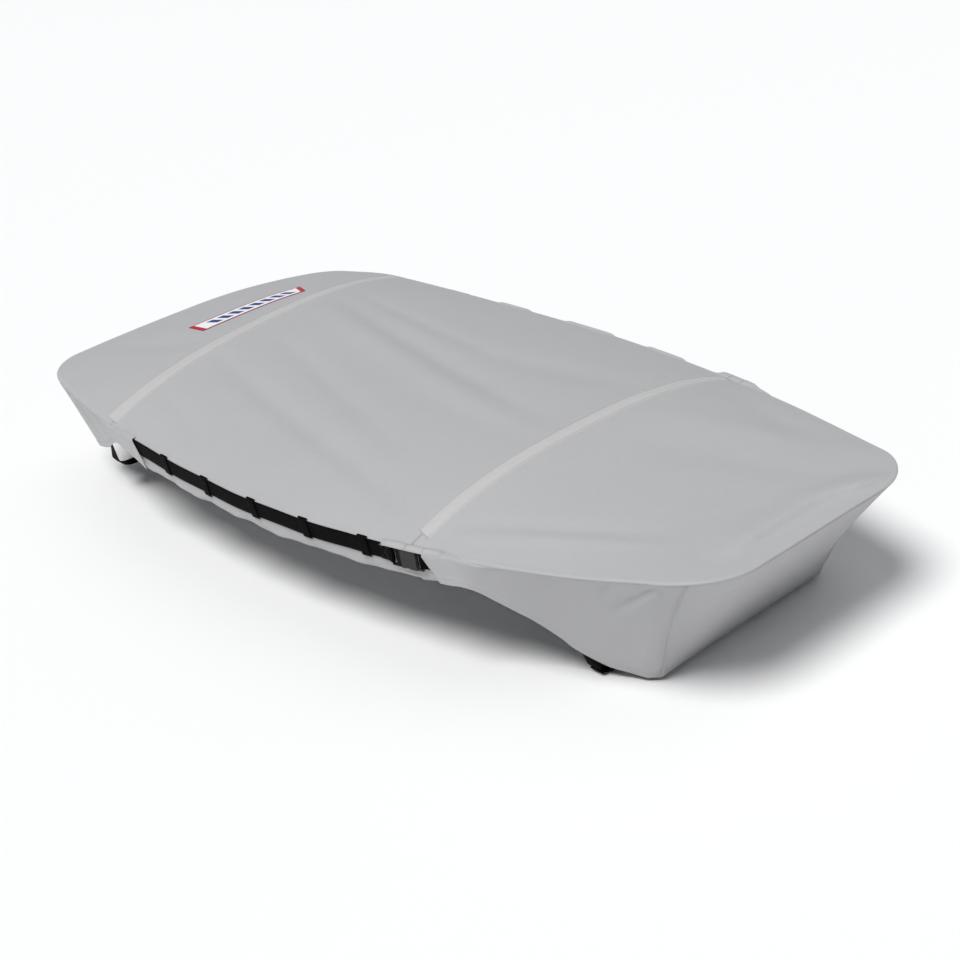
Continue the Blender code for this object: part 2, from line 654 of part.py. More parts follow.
def make_side_buckles():
    for side, side_name in sides():
        make_buckle(side_name, *side_buckle_frame(side))


# ---- straps under the hull ----
def strap_ends(columns, first, second, side):
    """Two edges of a strap's end, sewn inside a skirt down to its hem between two of its lines."""
    edges = []
    for line, other in ((columns[first], columns[second]), (columns[second], columns[first])):
        edge = []
        for up in (0.35, 0.0):
            place = line[-1] + (line[-2] - line[-1]) * up
            across = other[-1] + (other[-2] - other[-1]) * up - place
            normal = np.cross(line[-1] - line[-2], across)
            normal *= -side * math.copysign(1.0, normal[1]) / np.linalg.norm(normal)
            edge.append(place + across * STRAP_INSET + normal * (CLOTH * 1.05 + 0.0007 + WEBBING / 2))
        edges.append(edge)
    return edges


def strap_under(rows, foot_x, side):
    """One edge of a strap from a hem to the middle of the hull."""
    return [np.array((foot_x - aft, side * y, z)) for y, z, aft in zip(*rows.values())]


def make_straps(lines):
    """Straps from hem to hem under the hull, the bow one with a buckle by the starboard chine."""
    for label, first, second, rows in (("bow", 8, 9, BOW_STRAP), ("stern", 7, 8, STERN_STRAP)):
        starboard = strap_ends(lines[label, -1], first, second, -1)
        port = strap_ends(lines[label, 1], first, second, 1)
        runs = []
        for k in (0, 1):
            x = starboard[k][-1][0]
            under = strap_under(rows, x, -1)
            runs.append((starboard[k] + under, strap_under(rows, x, 1)[-2::-1] + port[k][::-1]))
        if runs[0][0][0][0] > runs[1][0][0][0]:
            runs.reverse()
        if label == "stern":
            ribbon("strap_stern", runs[0][0] + runs[0][1], runs[1][0] + runs[1][1], WEBBING, "webbing")
        else:
            make_buckled_strap(runs)


def make_buckled_strap(runs):
    """Bow strap in two lengths, each turned back round a bar of the buckle."""
    level = BOW_STRAP["z"][2]
    second = WEBBING + GAP
    clip_bar = STRAP_BUCKLE_Y + BAR / 2
    socket_bar = STRAP_BUCKLE_Y + CLIP_LENGTH + FIT + SOCKET_LENGTH - BAR / 2
    short, long = [], []
    for near, far in runs:
        x = near[4][0]
        fold = turn(clip_bar, TURN_RADIUS, 1) + [(clip_bar - 0.012, second + 0.001), (clip_bar - 0.018, second)]
        short.append(near[:4] + [near[4]] + [np.array((x, y, level - out)) for y, out in fold])
        fold = [(socket_bar + FOLD_BACK, second), (socket_bar + 0.016, second + 0.001)]
        fold += turn(socket_bar, TURN_RADIUS, -1)[::-1]
        long.append([np.array((x, y, level - out)) for y, out in fold]
                    + [np.array((x, socket_bar + 0.012, level))] + near[6:] + far)
    ribbon("strap_bow_short", short[0], short[1], WEBBING, "webbing")
    ribbon("strap_bow_long", long[0], long[1], WEBBING, "webbing")
    middle_x = (runs[0][0][4][0] + runs[1][0][4][0]) / 2
    origin = np.array((middle_x, STRAP_BUCKLE_Y, level - TURN_RADIUS + BAR / 2))
    make_buckle("strap", origin, np.array((0.0, 1.0, 0.0)), np.array((0.0, 0.0, -1.0)))


for old in list(bpy.data.objects):
    bpy.data.objects.remove(old)
make_top()
make_bands()
make_label()
skirt_lines = make_skirts()
make_strips()
make_belts()
make_side_buckles()
make_loops()
make_straps(skirt_lines)
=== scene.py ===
"""Looks of a fitted cloth cover for a small pram dinghy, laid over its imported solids.

X runs from stern to bow, Y from starboard to port, Z up; the gunwale's middle is at zero.
"""
import math
import bpy
import numpy as np
from mathutils import Matrix, Vector


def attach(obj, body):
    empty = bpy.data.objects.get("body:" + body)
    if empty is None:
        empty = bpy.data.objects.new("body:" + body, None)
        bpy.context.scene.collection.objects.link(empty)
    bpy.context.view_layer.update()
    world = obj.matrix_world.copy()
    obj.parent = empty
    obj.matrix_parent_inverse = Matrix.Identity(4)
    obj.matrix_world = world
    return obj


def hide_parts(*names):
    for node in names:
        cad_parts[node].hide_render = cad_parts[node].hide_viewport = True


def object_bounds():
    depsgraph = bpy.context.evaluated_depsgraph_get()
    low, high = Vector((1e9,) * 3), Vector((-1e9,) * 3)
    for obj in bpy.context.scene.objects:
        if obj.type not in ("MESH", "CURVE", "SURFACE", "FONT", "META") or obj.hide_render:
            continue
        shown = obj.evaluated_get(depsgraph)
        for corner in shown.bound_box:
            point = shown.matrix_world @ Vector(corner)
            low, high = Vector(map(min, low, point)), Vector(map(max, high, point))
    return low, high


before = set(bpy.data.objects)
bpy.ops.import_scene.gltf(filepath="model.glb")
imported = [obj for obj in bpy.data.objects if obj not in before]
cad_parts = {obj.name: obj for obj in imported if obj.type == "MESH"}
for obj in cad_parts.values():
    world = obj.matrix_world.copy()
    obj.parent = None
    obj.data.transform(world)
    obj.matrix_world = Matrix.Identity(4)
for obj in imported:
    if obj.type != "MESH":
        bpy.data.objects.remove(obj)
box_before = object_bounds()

# ---- stage -------------------------------------------------------------------------------
# A plain pale floor under the hanging hems, a camera a little above the bow's starboard
# quarter, and soft light from two broad lamps and a pale room.
CAMERA = {"azimuth": 52.97, "elevation": 26.20, "distance": 3.672, "roll": -8.87, "lens": 61.76}
LOOK_AT = Vector((0.3737, -0.2012, 0.0))
FLOOR_HALF = 30.0
FLOOR_BELOW = 0.004           # under the lowest buckle
FLOOR_COLOUR = "#f4f4f3"
ROOM_COLOUR, ROOM_STRENGTH = "#f0f3fc", 0.24
LAMPS = (("key", (0.10, -0.42, 0.90), 2.80, 26.0), ("fill", (0.10, 0.45, 0.89), 0.30, 50.0))


def rgb(hex_colour):
    """Linear colour with alpha from an sRGB hex value."""
    channels = [int(hex_colour[k:k + 2], 16) / 255 for k in (1, 3, 5)]
    return (*[c / 12.92 if c <= 0.04045 else ((c + 0.055) / 1.055)**2.4 for c in channels], 1.0)


def add(tree, kind, sockets=(), **settings):
    """Add a node, with its sockets' values in order or by name.

    A value is a number or a colour, a node for its first output, or a (node, output) pair.
    """
    made = tree.nodes.new(kind if "Node" in kind else "ShaderNode" + kind)
    for name, value in settings.items():
        setattr(made, name, value)
    for name, value in (sockets if isinstance(sockets, dict) else dict(enumerate(sockets))).items():
        node, output = value if isinstance(value, tuple) and len(value) == 2 else (value, 0)
        if isinstance(node, bpy.types.Node):
            tree.links.new(node.outputs[output], made.inputs[name])
        else:
            made.inputs[name].default_value = value
    return made


def new_material(name):
    """An empty material and its node tree."""
    made = bpy.data.materials.new(name)
    made.use_nodes = True
    made.node_tree.nodes.clear()
    return made, made.node_tree


def surface(finish, sockets):
    """End a material's tree in a lit surface with these sockets."""
    shader = add(finish.node_tree, "BsdfPrincipled", sockets)
    add(finish.node_tree, "OutputMaterial", {"Surface": shader})
    return finish


def link_object(name, data):
    """A new object in the scene."""
    made = bpy.data.objects.new(name, data)
    bpy.context.scene.collection.objects.link(made)
    return made


turn, lift, roll = (math.radians(CAMERA[k]) for k in ("azimuth", "elevation", "roll"))
back = Vector((math.sin(turn) * math.cos(lift), -math.cos(turn) * math.cos(lift), math.sin(lift)))
level = (-back).cross(Vector((0, 0, 1))).normalized()
upward = level.cross(-back)
across_view = level * math.cos(roll) + upward * math.sin(roll)
up_view = upward * math.cos(roll) - level * math.sin(roll)
eye = LOOK_AT + back * CAMERA["distance"]
camera = link_object("camera", bpy.data.cameras.new("camera"))
camera.matrix_world = Matrix([*zip(across_view, up_view, back, eye), (0, 0, 0, 1)])
camera.data.lens = CAMERA["lens"]
camera.data.sensor_width = 36.0
bpy.context.scene.camera = camera
bpy.context.scene.view_settings.view_transform = "Standard"

for lamp_name, towards, strength, spread in LAMPS:
    lamp = link_object(lamp_name, bpy.data.lights.new(lamp_name, "SUN"))
    lamp.data.energy = strength
    lamp.data.angle = math.radians(spread)
    lamp.rotation_euler = Vector(towards).to_track_quat("Z", "Y").to_euler()

room = bpy.data.worlds.new("room")
room.use_nodes = True
for socket, value in (("Color", rgb(ROOM_COLOUR)), ("Strength", ROOM_STRENGTH)):
    room.node_tree.nodes["Background"].inputs[socket].default_value = value
bpy.context.scene.world = room

floor_level = box_before[0][2] - FLOOR_BELOW
floor_mesh = bpy.data.meshes.new("floor")
floor_mesh.from_pydata([(x * FLOOR_HALF, y * FLOOR_HALF, floor_level)
                        for x, y in ((-1, -1), (1, -1), (1, 1), (-1, 1))], [], [(0, 1, 2, 3)])
floor = link_object("floor", floor_mesh)
floor_finish, _ = new_material("matte_painted_floor")
floor_mesh.materials.append(surface(floor_finish, {"Base Color": rgb(FLOOR_COLOUR), "Roughness": 0.9}))

# ---- top cloth ---------------------------------------------------------------------------
# Three panels of grey coated polyester canvas, sewn across and stretched over the gunwale.
# Poles of the hull crown it, and slack between them lies in long shallow troughs.
HALF_LENGTH = 1.17
SHEER = 0.029                 # the gunwale rises by this at one metre from the middle
BOW_RADIUS, STERN_RADIUS = 0.119, 0.110
PORT_QUARTER_DROP, PORT_QUARTER_FROM = 0.030, 0.85     # the port stern corner lies this much lower
PULL_X, PULL_Y, PULL_UP, PULL_REACH = 1.07, -0.33, 0.011, 0.14     # the skirt pulls this bow corner up
CLOTH = 0.0006
RIM_RADIUS = 0.008            # rounding of the top over the gunwale
TURN_DOWN = 0.004
EDGE_PULLED_FLAT = 0.5        # toward the bow, where the skirts pull the turned edge thinner
PULLED_FROM, PULLED_TO = 0.60, 0.78
CROWN_POWER = 2.6
STERN_BAND_AT, BOW_BAND_AT = -0.760, 0.489
ACROSS_STEPS, CORNER_STEPS = 132, 36


def table(columns, *rows):
    """Rows under named columns, as one array for each column."""
    return dict(zip(columns.split(), np.array(rows, float).T))


HULL = table(
    "along half_breadth",
    (-1.17, 0.478), (-0.85, 0.533), (-0.4, 0.567), (0.1, 0.559), (0.6, 0.48), (1.17, 0.313))
CROWN = table(
    "along height lean",
    (-1.17, 0.005, 0), (-1.06, 0.023, 0), (STERN_BAND_AT, 0.07, -0.14), (-0.13, 0.067, -0.07),
    (BOW_BAND_AT, 0.076, 0), (1.17, 0.001, 0))
# soft troughs, and ridges where the depth is negative
FOLDS = table(
    "from_x from_y to_x to_y depth width",
    (-0.72, -0.205, 0.49, -0.436, 0.0076, 0.034), (-0.67, -0.028, 0.22, -0.278, 0.0046, 0.032),
    (-0.73, 0.17, 0.44, -0.082, -0.0062, 0.045), (-0.75, 0.236, 0.44, -0.016, 0.0052, 0.036),
    (-0.77, 0.306, 0.02, 0.205, 0.004, 0.028), (-0.1, 0.195, 0.485, 0.25, 0.005, 0.05),
    (-0.08, -0.056, 0.48, -0.104, 0.0026, 0.04), (-0.7, -0.385, -0.36, -0.48, 0.0026, 0.026),
    (-1.1, -0.3, -0.8, -0.18, 0.0035, 0.05), (-1.12, 0.3, -0.86, 0.2, 0.003, 0.06),
    (0.53, -0.448, 0.99, -0.235, -0.003, 0.024), (0.53, -0.412, 0.97, -0.2, 0.0034, 0.028),
    (0.62, 0.03, 1.1, 0.19, 0.004, 0.06), (0.55, 0.16, 1.09, 0.335, -0.004, 0.05),
    (0.54, 0.4, 1, 0.27, 0.004, 0.045), (0.535, -0.44, 0.625, -0.492, 0.006, 0.01))
# the ridge across the bow: its place, height, width before and after, and the y where it fades in and out
RIDGE_AT, RIDGE_HEIGHT, RIDGE_BEFORE, RIDGE_AFTER = 1.098, 0.0115, 0.050, 0.015
RIDGE_IN, RIDGE_OUT = (-0.24, -0.11), (0.18, 0.30)
# rolls of slack cloth over a side's belt: where, how high, how far out and how low they reach
ROLLS = table(
    "side at half_length crest out lip",
    (-1, 0.489, 0.09, 0.008, 0.0128, 0.004), (1, 0.495, 0.075, 0.002, 0.0128, 0.009),
    (1, 0.24, 0.1, 0.0008, 0.002, 0.006), (1, -0.06, 0.12, 0.001, 0.0026, 0.006),
    (1, -0.36, 0.09, 0.0007, 0.002, 0.006))
EDGE_STEPS, EDGE_LONG, ROLL_RAMP = 11, 0.016, 0.042


def smooth(rows, column, at):
    """Value of a column at places along, on a cubic curve through the rows."""
    x, y = rows["along"], rows[column]
    at = np.asarray(at, float)
    slope = np.gradient(y, x)
    i = np.clip(np.searchsorted(x, at) - 1, 0, len(x) - 2)
    span = x[i + 1] - x[i]
    t = np.clip((at - x[i]) / span, 0.0, 1.0)
    start = (2 * t**3 - 3 * t**2 + 1) * y[i] + (t**3 - 2 * t**2 + t) * span * slope[i]
    return start + (3 * t**2 - 2 * t**3) * y[i + 1] + (t**3 - t**2) * span * slope[i + 1]


def ramp(value, low, high):
    """Smooth step from 0 at low to 1 at high."""
    t = np.clip((np.asarray(value, float) - low) / (high - low), 0.0, 1.0)
    return t * t * (3 - 2 * t)


def half_breadth(x, inset=0.0):
    """Half the cover's width at x, with the four corners rounded."""
    x = np.asarray(x, float)
    radius = np.where(x > 0, BOW_RADIUS, STERN_RADIUS) - inset
    to_end = np.maximum(HALF_LENGTH - inset - np.abs(x), 0.0)
    into = np.clip(radius - to_end, 0.0, None)
    cut = radius - np.sqrt(np.maximum(radius**2 - into**2, 0.0))
    return smooth(HULL, "half_breadth", x) - inset - cut


def rim_height(x, y):
    """Height of the gunwale."""
    share = np.clip(y / half_breadth(x), 0.0, 1.0)
    away = ((x - PULL_X)**2 + (y - PULL_Y)**2) / PULL_REACH**2
    drop = PORT_QUARTER_DROP * ramp(-np.asarray(x), PORT_QUARTER_FROM, HALF_LENGTH) * share**2
    return SHEER * x * x + PULL_UP * np.exp(-away) - drop


def unit(vectors):
    """Vectors made one long."""
    return vectors / np.maximum(np.linalg.norm(vectors, axis=-1, keepdims=True), 1e-12)


def rim_normal(x, side, inset=0.0):
    """Outward directions of the gunwale's outline, in plan."""
    x = np.asarray(x, float)
    step = 0.0005
    at_end = HALF_LENGTH - inset - np.abs(x) < step
    inner = np.clip(x, -HALF_LENGTH + inset + 2 * step, HALF_LENGTH - inset - 2 * step)
    slope = (half_breadth(inner + step, inset) - half_breadth(inner - step, inset)) / (2 * step)
    normal = unit(np.stack([-slope, np.full_like(x, side), np.zeros_like(x)], axis=-1))
    ends = np.stack([np.sign(x), np.zeros_like(x), np.zeros_like(x)], axis=-1)
    return np.where(at_end[..., None], ends, normal)


def fold_depth(x, y):
    """How far the cloth lies below its plain crowned shape."""
    depth = np.zeros(np.broadcast(x, y).shape)
    for from_x, from_y, to_x, to_y, deep, width in zip(*FOLDS.values()):
        s = np.clip((x - from_x) / (to_x - from_x), 0.0, 1.0)
        across = (y - from_y - s * (to_y - from_y)) / width
        depth += deep * np.sin(math.pi * s)**0.6 * np.exp(-across**2)
    along = ramp(y, *RIDGE_IN) * (1 - ramp(y, *RIDGE_OUT)) * ramp(HALF_LENGTH - 0.010 - x, 0.0, 0.025)
    off = x - RIDGE_AT - 0.9 * np.maximum(y - 0.05, 0.0)**1.5
    return depth - RIDGE_HEIGHT * along * np.exp(-(off / np.where(off < 0, RIDGE_BEFORE, RIDGE_AFTER))**2)


def top_points(station, t):
    """Points of the top: station on the centre line, t from -1 (starboard) to 1 (port)."""
    station, t = np.broadcast_arrays(np.asarray(station, float), np.asarray(t, float))
    lean = np.interp(station, CROWN["along"], CROWN["lean"])
    x = station
    for _ in range(4):
        y = t * half_breadth(x, RIM_RADIUS)
        x = station + lean * y
    flat = 1 - np.abs(t)**CROWN_POWER
    crown = np.interp(station, CROWN["along"], CROWN["height"])
    z = rim_height(x, y) + crown * flat - fold_depth(x, y) * np.minimum(1.0, 4 * flat)
    return np.stack([x, y, z], axis=-1)


def top_normals(station, t):
    """Upward directions of the top."""
    station, t, step = np.asarray(station), np.asarray(t), 0.004
    along = top_points(station + step, t) - top_points(station - step, t)
    across = top_points(station, np.minimum(t + step, 1)) - top_points(station, np.maximum(t - step, -1))
    return unit(np.cross(along, across))


def edge_share(x):
    """How much of its full height the turned edge keeps."""
    return 1 - EDGE_PULLED_FLAT * ramp(x, PULLED_FROM, PULLED_TO)


def edge_way(x, side, plain, rolled, lift=0.0, proud=0.0):
    """Out and up from the gunwale's outline, at shares of the plain and of the rolled way over it."""
    full, size = np.zeros_like(x), np.zeros((3, len(x)))
    for row_side, at, half, *reach in zip(*ROLLS.values()):
        share = ramp(half - np.abs(x - at), 0.0, ROLL_RAMP) * (row_side == side)
        full += share
        size += share * np.array(reach)[:, None]
    crest, out, lip = size / np.maximum(full, 1e-9)
    crest, out = np.maximum(crest, 0.10 * proud), np.maximum(out, proud)
    full = np.maximum(np.minimum(full, 1.0), ramp(proud, 0.0, 0.002))
    turned = math.pi * min(plain, 0.5)
    plain_out = (RIM_RADIUS + lift) * math.sin(turned) - RIM_RADIUS
    plain_up = (RIM_RADIUS + lift) * math.cos(turned) - RIM_RADIUS - TURN_DOWN * max(2 * plain - 1, 0)
    plain_up = plain_up * edge_share(x)
    angle = math.pi * (1 - 1.2 * rolled)
    rolled_out = (out - RIM_RADIUS) / 2 + (out + RIM_RADIUS) / 2 * math.cos(angle) + lift * rolled
    rolled_up = np.where(math.sin(angle) > 0, crest, lip) * math.sin(angle) + lift * (1 - rolled)
    return plain_out + (rolled_out - plain_out) * full, plain_up + (rolled_up - plain_up) * full


def quads(rows, columns, first=0):
    """Faces of a grid whose rows and columns run so that the outside is seen."""
    i, j = np.meshgrid(np.arange(rows - 1), np.arange(columns - 1), indexing="ij")
    near = (first + i * columns + j).ravel()
    return np.stack([near, near + columns, near + columns + 1, near + 1], axis=1).tolist()


def make_piece(name, points, faces, uv, finish, thickness=None):
    """A smooth mesh piece with a map in metres; a thickness makes it a closed sheet."""
    mesh = bpy.data.meshes.new(name)
    mesh.from_pydata(np.asarray(points, float).reshape(-1, 3).tolist(), [], faces)
    mesh.polygons.foreach_set("use_smooth", np.ones(len(mesh.polygons), bool))
    corner = np.zeros(len(mesh.loops), int)
    mesh.loops.foreach_get("vertex_index", corner)
    cut = mesh.uv_layers.new(name="cut").data
    cut.foreach_set("uv", np.asarray(uv, float).reshape(-1, 2)[corner].ravel())
    mesh.materials.append(finish)
    piece = link_object(name, mesh)
    if thickness:
        solid = piece.modifiers.new("thickness", "SOLIDIFY")
        solid.thickness = thickness
        solid.offset = -1.0
    return piece


def dress(piece, slot, *nodes):
    """Fix a piece to the cover, in the place of these solids."""
    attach(piece, "root")
    if nodes:
        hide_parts(*nodes)
    return piece


THREAD_APART = 0.0016         # the real threads are 0.5 mm apart; these are coarser so that they show


def coated_canvas(name, colour, roughness, weave_depth):
    """Coated polyester canvas: a fine plain weave under a thin coat, which leaves it matte and even."""
    finish, tree = new_material(name)
    place = (add(tree, "TexCoord"), "Object")
    cut = add(tree, "SeparateXYZ", [add(tree, "UVMap", uv_map="cut")])
    waves = []
    for axis in ("X", "Y"):
        angle = add(tree, "Math", ((cut, axis), math.pi / THREAD_APART), operation="MULTIPLY")
        waves.append(add(tree, "Math", [angle], operation="SINE"))
    weave = add(tree, "Math", waves, operation="MULTIPLY")
    broad, crumple, fine = (
        add(tree, "TexNoise", {"Vector": place, "Scale": scale, "Detail": detail, "Roughness": rough})
        for scale, detail, rough in ((5.0, 3.0, 0.55), (16.0, 3.0, 0.5), (90.0, 4.0, 0.6)))
    # broad and fine give the cloth's own random mottle; thread is painted shade and painted highlight from
    # the weave's height, a little darker in its hollows and lighter on its raised threads
    tone, speck, thread, rough = (add(tree, "MapRange", values) for values in (
        (broad, 0.3, 0.7, 0.99, 1.01), (fine, 0.3, 0.7, 0.985, 1.015), (weave, -1.0, 1.0, 0.985, 1.01),
        (fine, 0.3, 0.7, roughness - 0.06, roughness + 0.06)))
    # the random mottle times the painted weave shade and highlight
    for part in (speck, thread):
        tone = add(tree, "Math", (tone, part), operation="MULTIPLY")
    tint = add(tree, "VectorMath", {0: rgb(colour)[:3], "Scale": tone}, operation="SCALE")
    soft = add(tree, "Bump", {"Height": crumple, "Distance": 0.0016, "Strength": 0.45})
    woven = add(tree, "Bump", {"Height": weave, "Distance": weave_depth, "Strength": 0.5, "Normal": soft})
    return surface(finish, {"Base Color": tint, "Roughness": rough, "Normal": woven, "Sheen Weight": 0.12,
                            "Sheen Roughness": 0.5, "Specular IOR Level": 0.35})


canvas = coated_canvas("grey_coated_canvas", "#b0b0b1", 0.62, 0.00012)


def make_top_panel(name, stations, end):
    """One panel of the top with its edge over the gunwale, in place of its solid."""
    across = np.linspace(-1, 1, ACROSS_STEPS + 1)
    grid = top_points(np.asarray(stations)[:, None], across[None, :])
    rows, columns = grid.shape[:2]
    flat = grid.reshape(-1, 3)
    points, uv, faces = list(flat), list(flat[:, :2]), quads(rows, columns)
    starboard = [(i, 0) for i in range(rows)]
    port = [(i, columns - 1) for i in range(rows - 1, -1, -1)]
    runs = {1: [starboard + [(rows - 1, j) for j in range(1, columns - 1)] + port],
            -1: [port + [(0, j) for j in range(columns - 2, 0, -1)] + starboard], 0: [starboard, port]}[end]
    for run in runs:
        index = np.array([i * columns + j for i, j in run])
        base = flat[index]
        side = across[np.array(run)[:, 1]]
        normal = np.where((np.abs(side) < 1)[:, None], (float(end), 0.0, 0.0),
                          rim_normal(base[:, 0], np.sign(side), RIM_RADIUS))
        rings = [index]
        for share in np.arange(1, EDGE_STEPS + 1) / EDGE_STEPS:
            way = [edge_way(base[:, 0], one, share, share) for one in (-1, 1)]
            out, up = np.where(side < 0, *way)
            ring = base + normal * (out + RIM_RADIUS)[:, None]
            ring[:, 2] += rim_height(*ring.T[:2]) - rim_height(*base.T[:2]) + up
            rings.append(len(points) + np.arange(len(run)))
            points += list(ring)
            uv += list(base[:, :2] + normal[:, :2] * EDGE_LONG * share)
        for upper, lower in zip(rings, rings[1:]):
            faces += np.stack([upper[:-1], lower[:-1], lower[1:], upper[1:]], axis=1).tolist()
    piece = dress(make_piece(name, points, faces, uv, canvas, CLOTH), "cloth", name.replace("cloth_", ""))


turn_share = 1 - np.cos(np.linspace(0, math.pi / 2, CORNER_STEPS + 1))
stern_corner = RIM_RADIUS - HALF_LENGTH + (STERN_RADIUS - RIM_RADIUS) * turn_share
bow_corner = HALF_LENGTH - RIM_RADIUS - (BOW_RADIUS - RIM_RADIUS) * turn_share[::-1]
make_top_panel("cloth_top_stern", np.r_[stern_corner[:-1], np.linspace(stern_corner[-1], STERN_BAND_AT, 40)],
               -1)
make_top_panel("cloth_top_middle", np.linspace(STERN_BAND_AT, BOW_BAND_AT, 158), 0)
make_top_panel("cloth_top_bow", np.r_[np.linspace(BOW_BAND_AT, bow_corner[0], 72)[:-1], bow_corner],
               1)

# ---- bands over the cross seams ----------------------------------------------------------
# Two flat tapes of paler coated canvas, sewn down along both edges over the top's cross
# seams. Their middles stand a little proud, and their square ends stop short of the gunwale.
BANDS = {                     # place, width, share of the half breadth at either end, slant of the ends
    "band_stern": (STERN_BAND_AT - 0.007, 0.056, -0.998, 0.985, 0.0),
    "band_bow": (BOW_BAND_AT + 0.005, 0.045, -0.932, 0.985, -0.018)}
BAND_LOW, BAND_HIGH, BAND_THICK, BAND_STITCH_INSET = -0.0004, 0.0012, 0.0009, 0.0045
# pitch, length and thickness of stitches; real ones are 3 mm long, these coarser so that they show
STITCH, SMALL_STITCH = (0.0060, 0.0042, 0.0006), (0.0045, 0.0030, 0.0007)
WEBBING_STITCH = (0.0042, 0.0030, 0.0010)
STITCH_OFF = 0.0001           # between a row of stitches and the face of its cloth


def stitch_tree():
    """Node tree that lays arched stitches along the edges of a mesh."""
    tree = bpy.data.node_groups.new("stitch_row", "GeometryNodeTree")
    for name, kind in (("Geometry", "Geometry"), ("Pitch", "Float"), ("Long", "Float"), ("Thick", "Float"),
                       ("Thread", "Material")):
        tree.interface.new_socket(name, in_out="INPUT", socket_type="NodeSocket" + kind)
    tree.interface.new_socket("Geometry", in_out="OUTPUT", socket_type="NodeSocketGeometry")
    given = add(tree, "NodeGroupInput")
    line = add(tree, "GeometryNodeMeshToCurve", [given])
    evenly = add(tree, "GeometryNodeResampleCurve", {0: line, "Length": (given, "Pitch")}, mode="LENGTH")
    spots = add(tree, "GeometryNodeCurveToPoints", [evenly], mode="EVALUATED")
    half, radius = (add(tree, "Math", ((given, size), 0.5), operation="MULTIPLY")
                    for size in ("Long", "Thick"))
    less = add(tree, "Math", (half, -1.0), operation="MULTIPLY")
    ends = (add(tree, "CombineXYZ", at) for at in ({"X": less}, {"Z": (given, "Thick")}, {"X": half}))
    arch = add(tree, "GeometryNodeCurveQuadraticBezier", (4, *ends))
    ring = add(tree, "GeometryNodeCurvePrimitiveCircle", {"Resolution": 6, "Radius": radius})
    thread = add(tree, "GeometryNodeCurveToMesh", {0: arch, "Profile Curve": ring, "Fill Caps": True})
    up = add(tree, "GeometryNodeInputNamedAttribute", ["up"], data_type="FLOAT_VECTOR")
    along = add(tree, "FunctionNodeAlignRotationToVector", {"Vector": (spots, "Tangent")}, axis="X")
    upright = add(tree, "FunctionNodeAlignRotationToVector", {"Rotation": along, "Vector": up}, axis="Z",
                  pivot_axis="X")
    placed = add(tree, "GeometryNodeInstanceOnPoints", {0: spots, "Instance": thread, "Rotation": upright})
    real = add(tree, "GeometryNodeRealizeInstances", [placed])
    finished = add(tree, "GeometryNodeSetMaterial", {"Geometry": real, "Material": (given, "Thread")})
    add(tree, "NodeGroupOutput", [finished])
    return tree


def thread_finish(name, colour):
    """Twisted polyester sewing thread, with the slight gloss of its twist."""
    finish, tree = new_material(name)
    place = (add(tree, "TexCoord"), "Object")
    twist = add(tree, "TexNoise", {"Vector": place, "Scale": 900.0, "Detail": 1.0})
    tone = add(tree, "MapRange", (twist, 0.0, 1.0, 0.85, 1.12))
    tint = add(tree, "VectorMath", {0: rgb(colour)[:3], "Scale": tone}, operation="SCALE")
    bump = add(tree, "Bump", {"Height": twist, "Distance": 0.0002, "Strength": 0.5})
    return surface(finish, {"Base Color": tint, "Roughness": 0.5, "Normal": bump})


stitches = stitch_tree()
grey_thread = thread_finish("grey_polyester_thread", "#bababa")


def sew(name, rows, thread, slot="cloth", sizes=STITCH):
    """Rows of stitches, each a pair of points and upward directions along it."""
    points, edges, ups = [], [], []
    for line, normals in rows:
        edges += [(len(points) + k, len(points) + k + 1) for k in range(len(line) - 1)]
        points += np.asarray(line, float).tolist()
        ups += np.asarray(normals, float).tolist()
    mesh = bpy.data.meshes.new(name + "_line")
    mesh.from_pydata(points, edges, [])
    up = mesh.attributes.new("up", "FLOAT_VECTOR", "POINT")
    up.data.foreach_set("vector", np.array(ups, np.float32).ravel())
    path = link_object(name + "_line", mesh)
    modifier = path.modifiers.new("stitches", "NODES")
    modifier.node_group = stitches
    wanted = dict(zip(("Pitch", "Long", "Thick", "Thread"), (*sizes, thread)))
    for item in stitches.interface.items_tree:
        if item.in_out == "INPUT" and item.name in wanted:
            modifier[item.identifier] = wanted[item.name]
    bpy.context.view_layer.update()
    made = bpy.data.meshes.new_from_object(path.evaluated_get(bpy.context.evaluated_depsgraph_get()))
    made.name = name
    bpy.data.objects.remove(path)
    return dress(link_object(name, made), slot)


tape = coated_canvas("pale_coated_tape", "#bcbcba", 0.55, 0.00010)
for band_name, (at, width, from_t, to_t, slant) in BANDS.items():
    along = np.linspace(0, 1, ACROSS_STEPS + 1)[None, :]
    w = np.sin(np.linspace(-1, 1, 17) * math.pi / 2)[:, None]
    t = from_t + slant * w + (to_t - from_t - slant * w) * along
    place = (at + w * width / 2, t)
    grid = top_points(*place)
    wave = 0.0002 * np.sin(60 * grid[..., 1] + 5 * at) * (1 - w**2)
    height = BAND_LOW + (BAND_HIGH - BAND_LOW) * (1 - w**6) + wave
    grid = grid + top_normals(*place) * height[..., None]
    uv = np.stack(np.broadcast_arrays(w * width / 2, grid[..., 1]), axis=-1)
    band = make_piece("cloth_" + band_name, grid, quads(*t.shape), uv, tape, BAND_THICK)
    dress(band, "band", band_name)
    place = (at + (width / 2 - BAND_STITCH_INSET) * np.array((-1, 1))[:, None], t[[0, -1]])
    up = top_normals(*place)
    lines = top_points(*place) + up * (BAND_HIGH - STITCH_OFF)
    stitching = sew("stitches_" + band_name, zip(lines, up), grey_thread, "band")

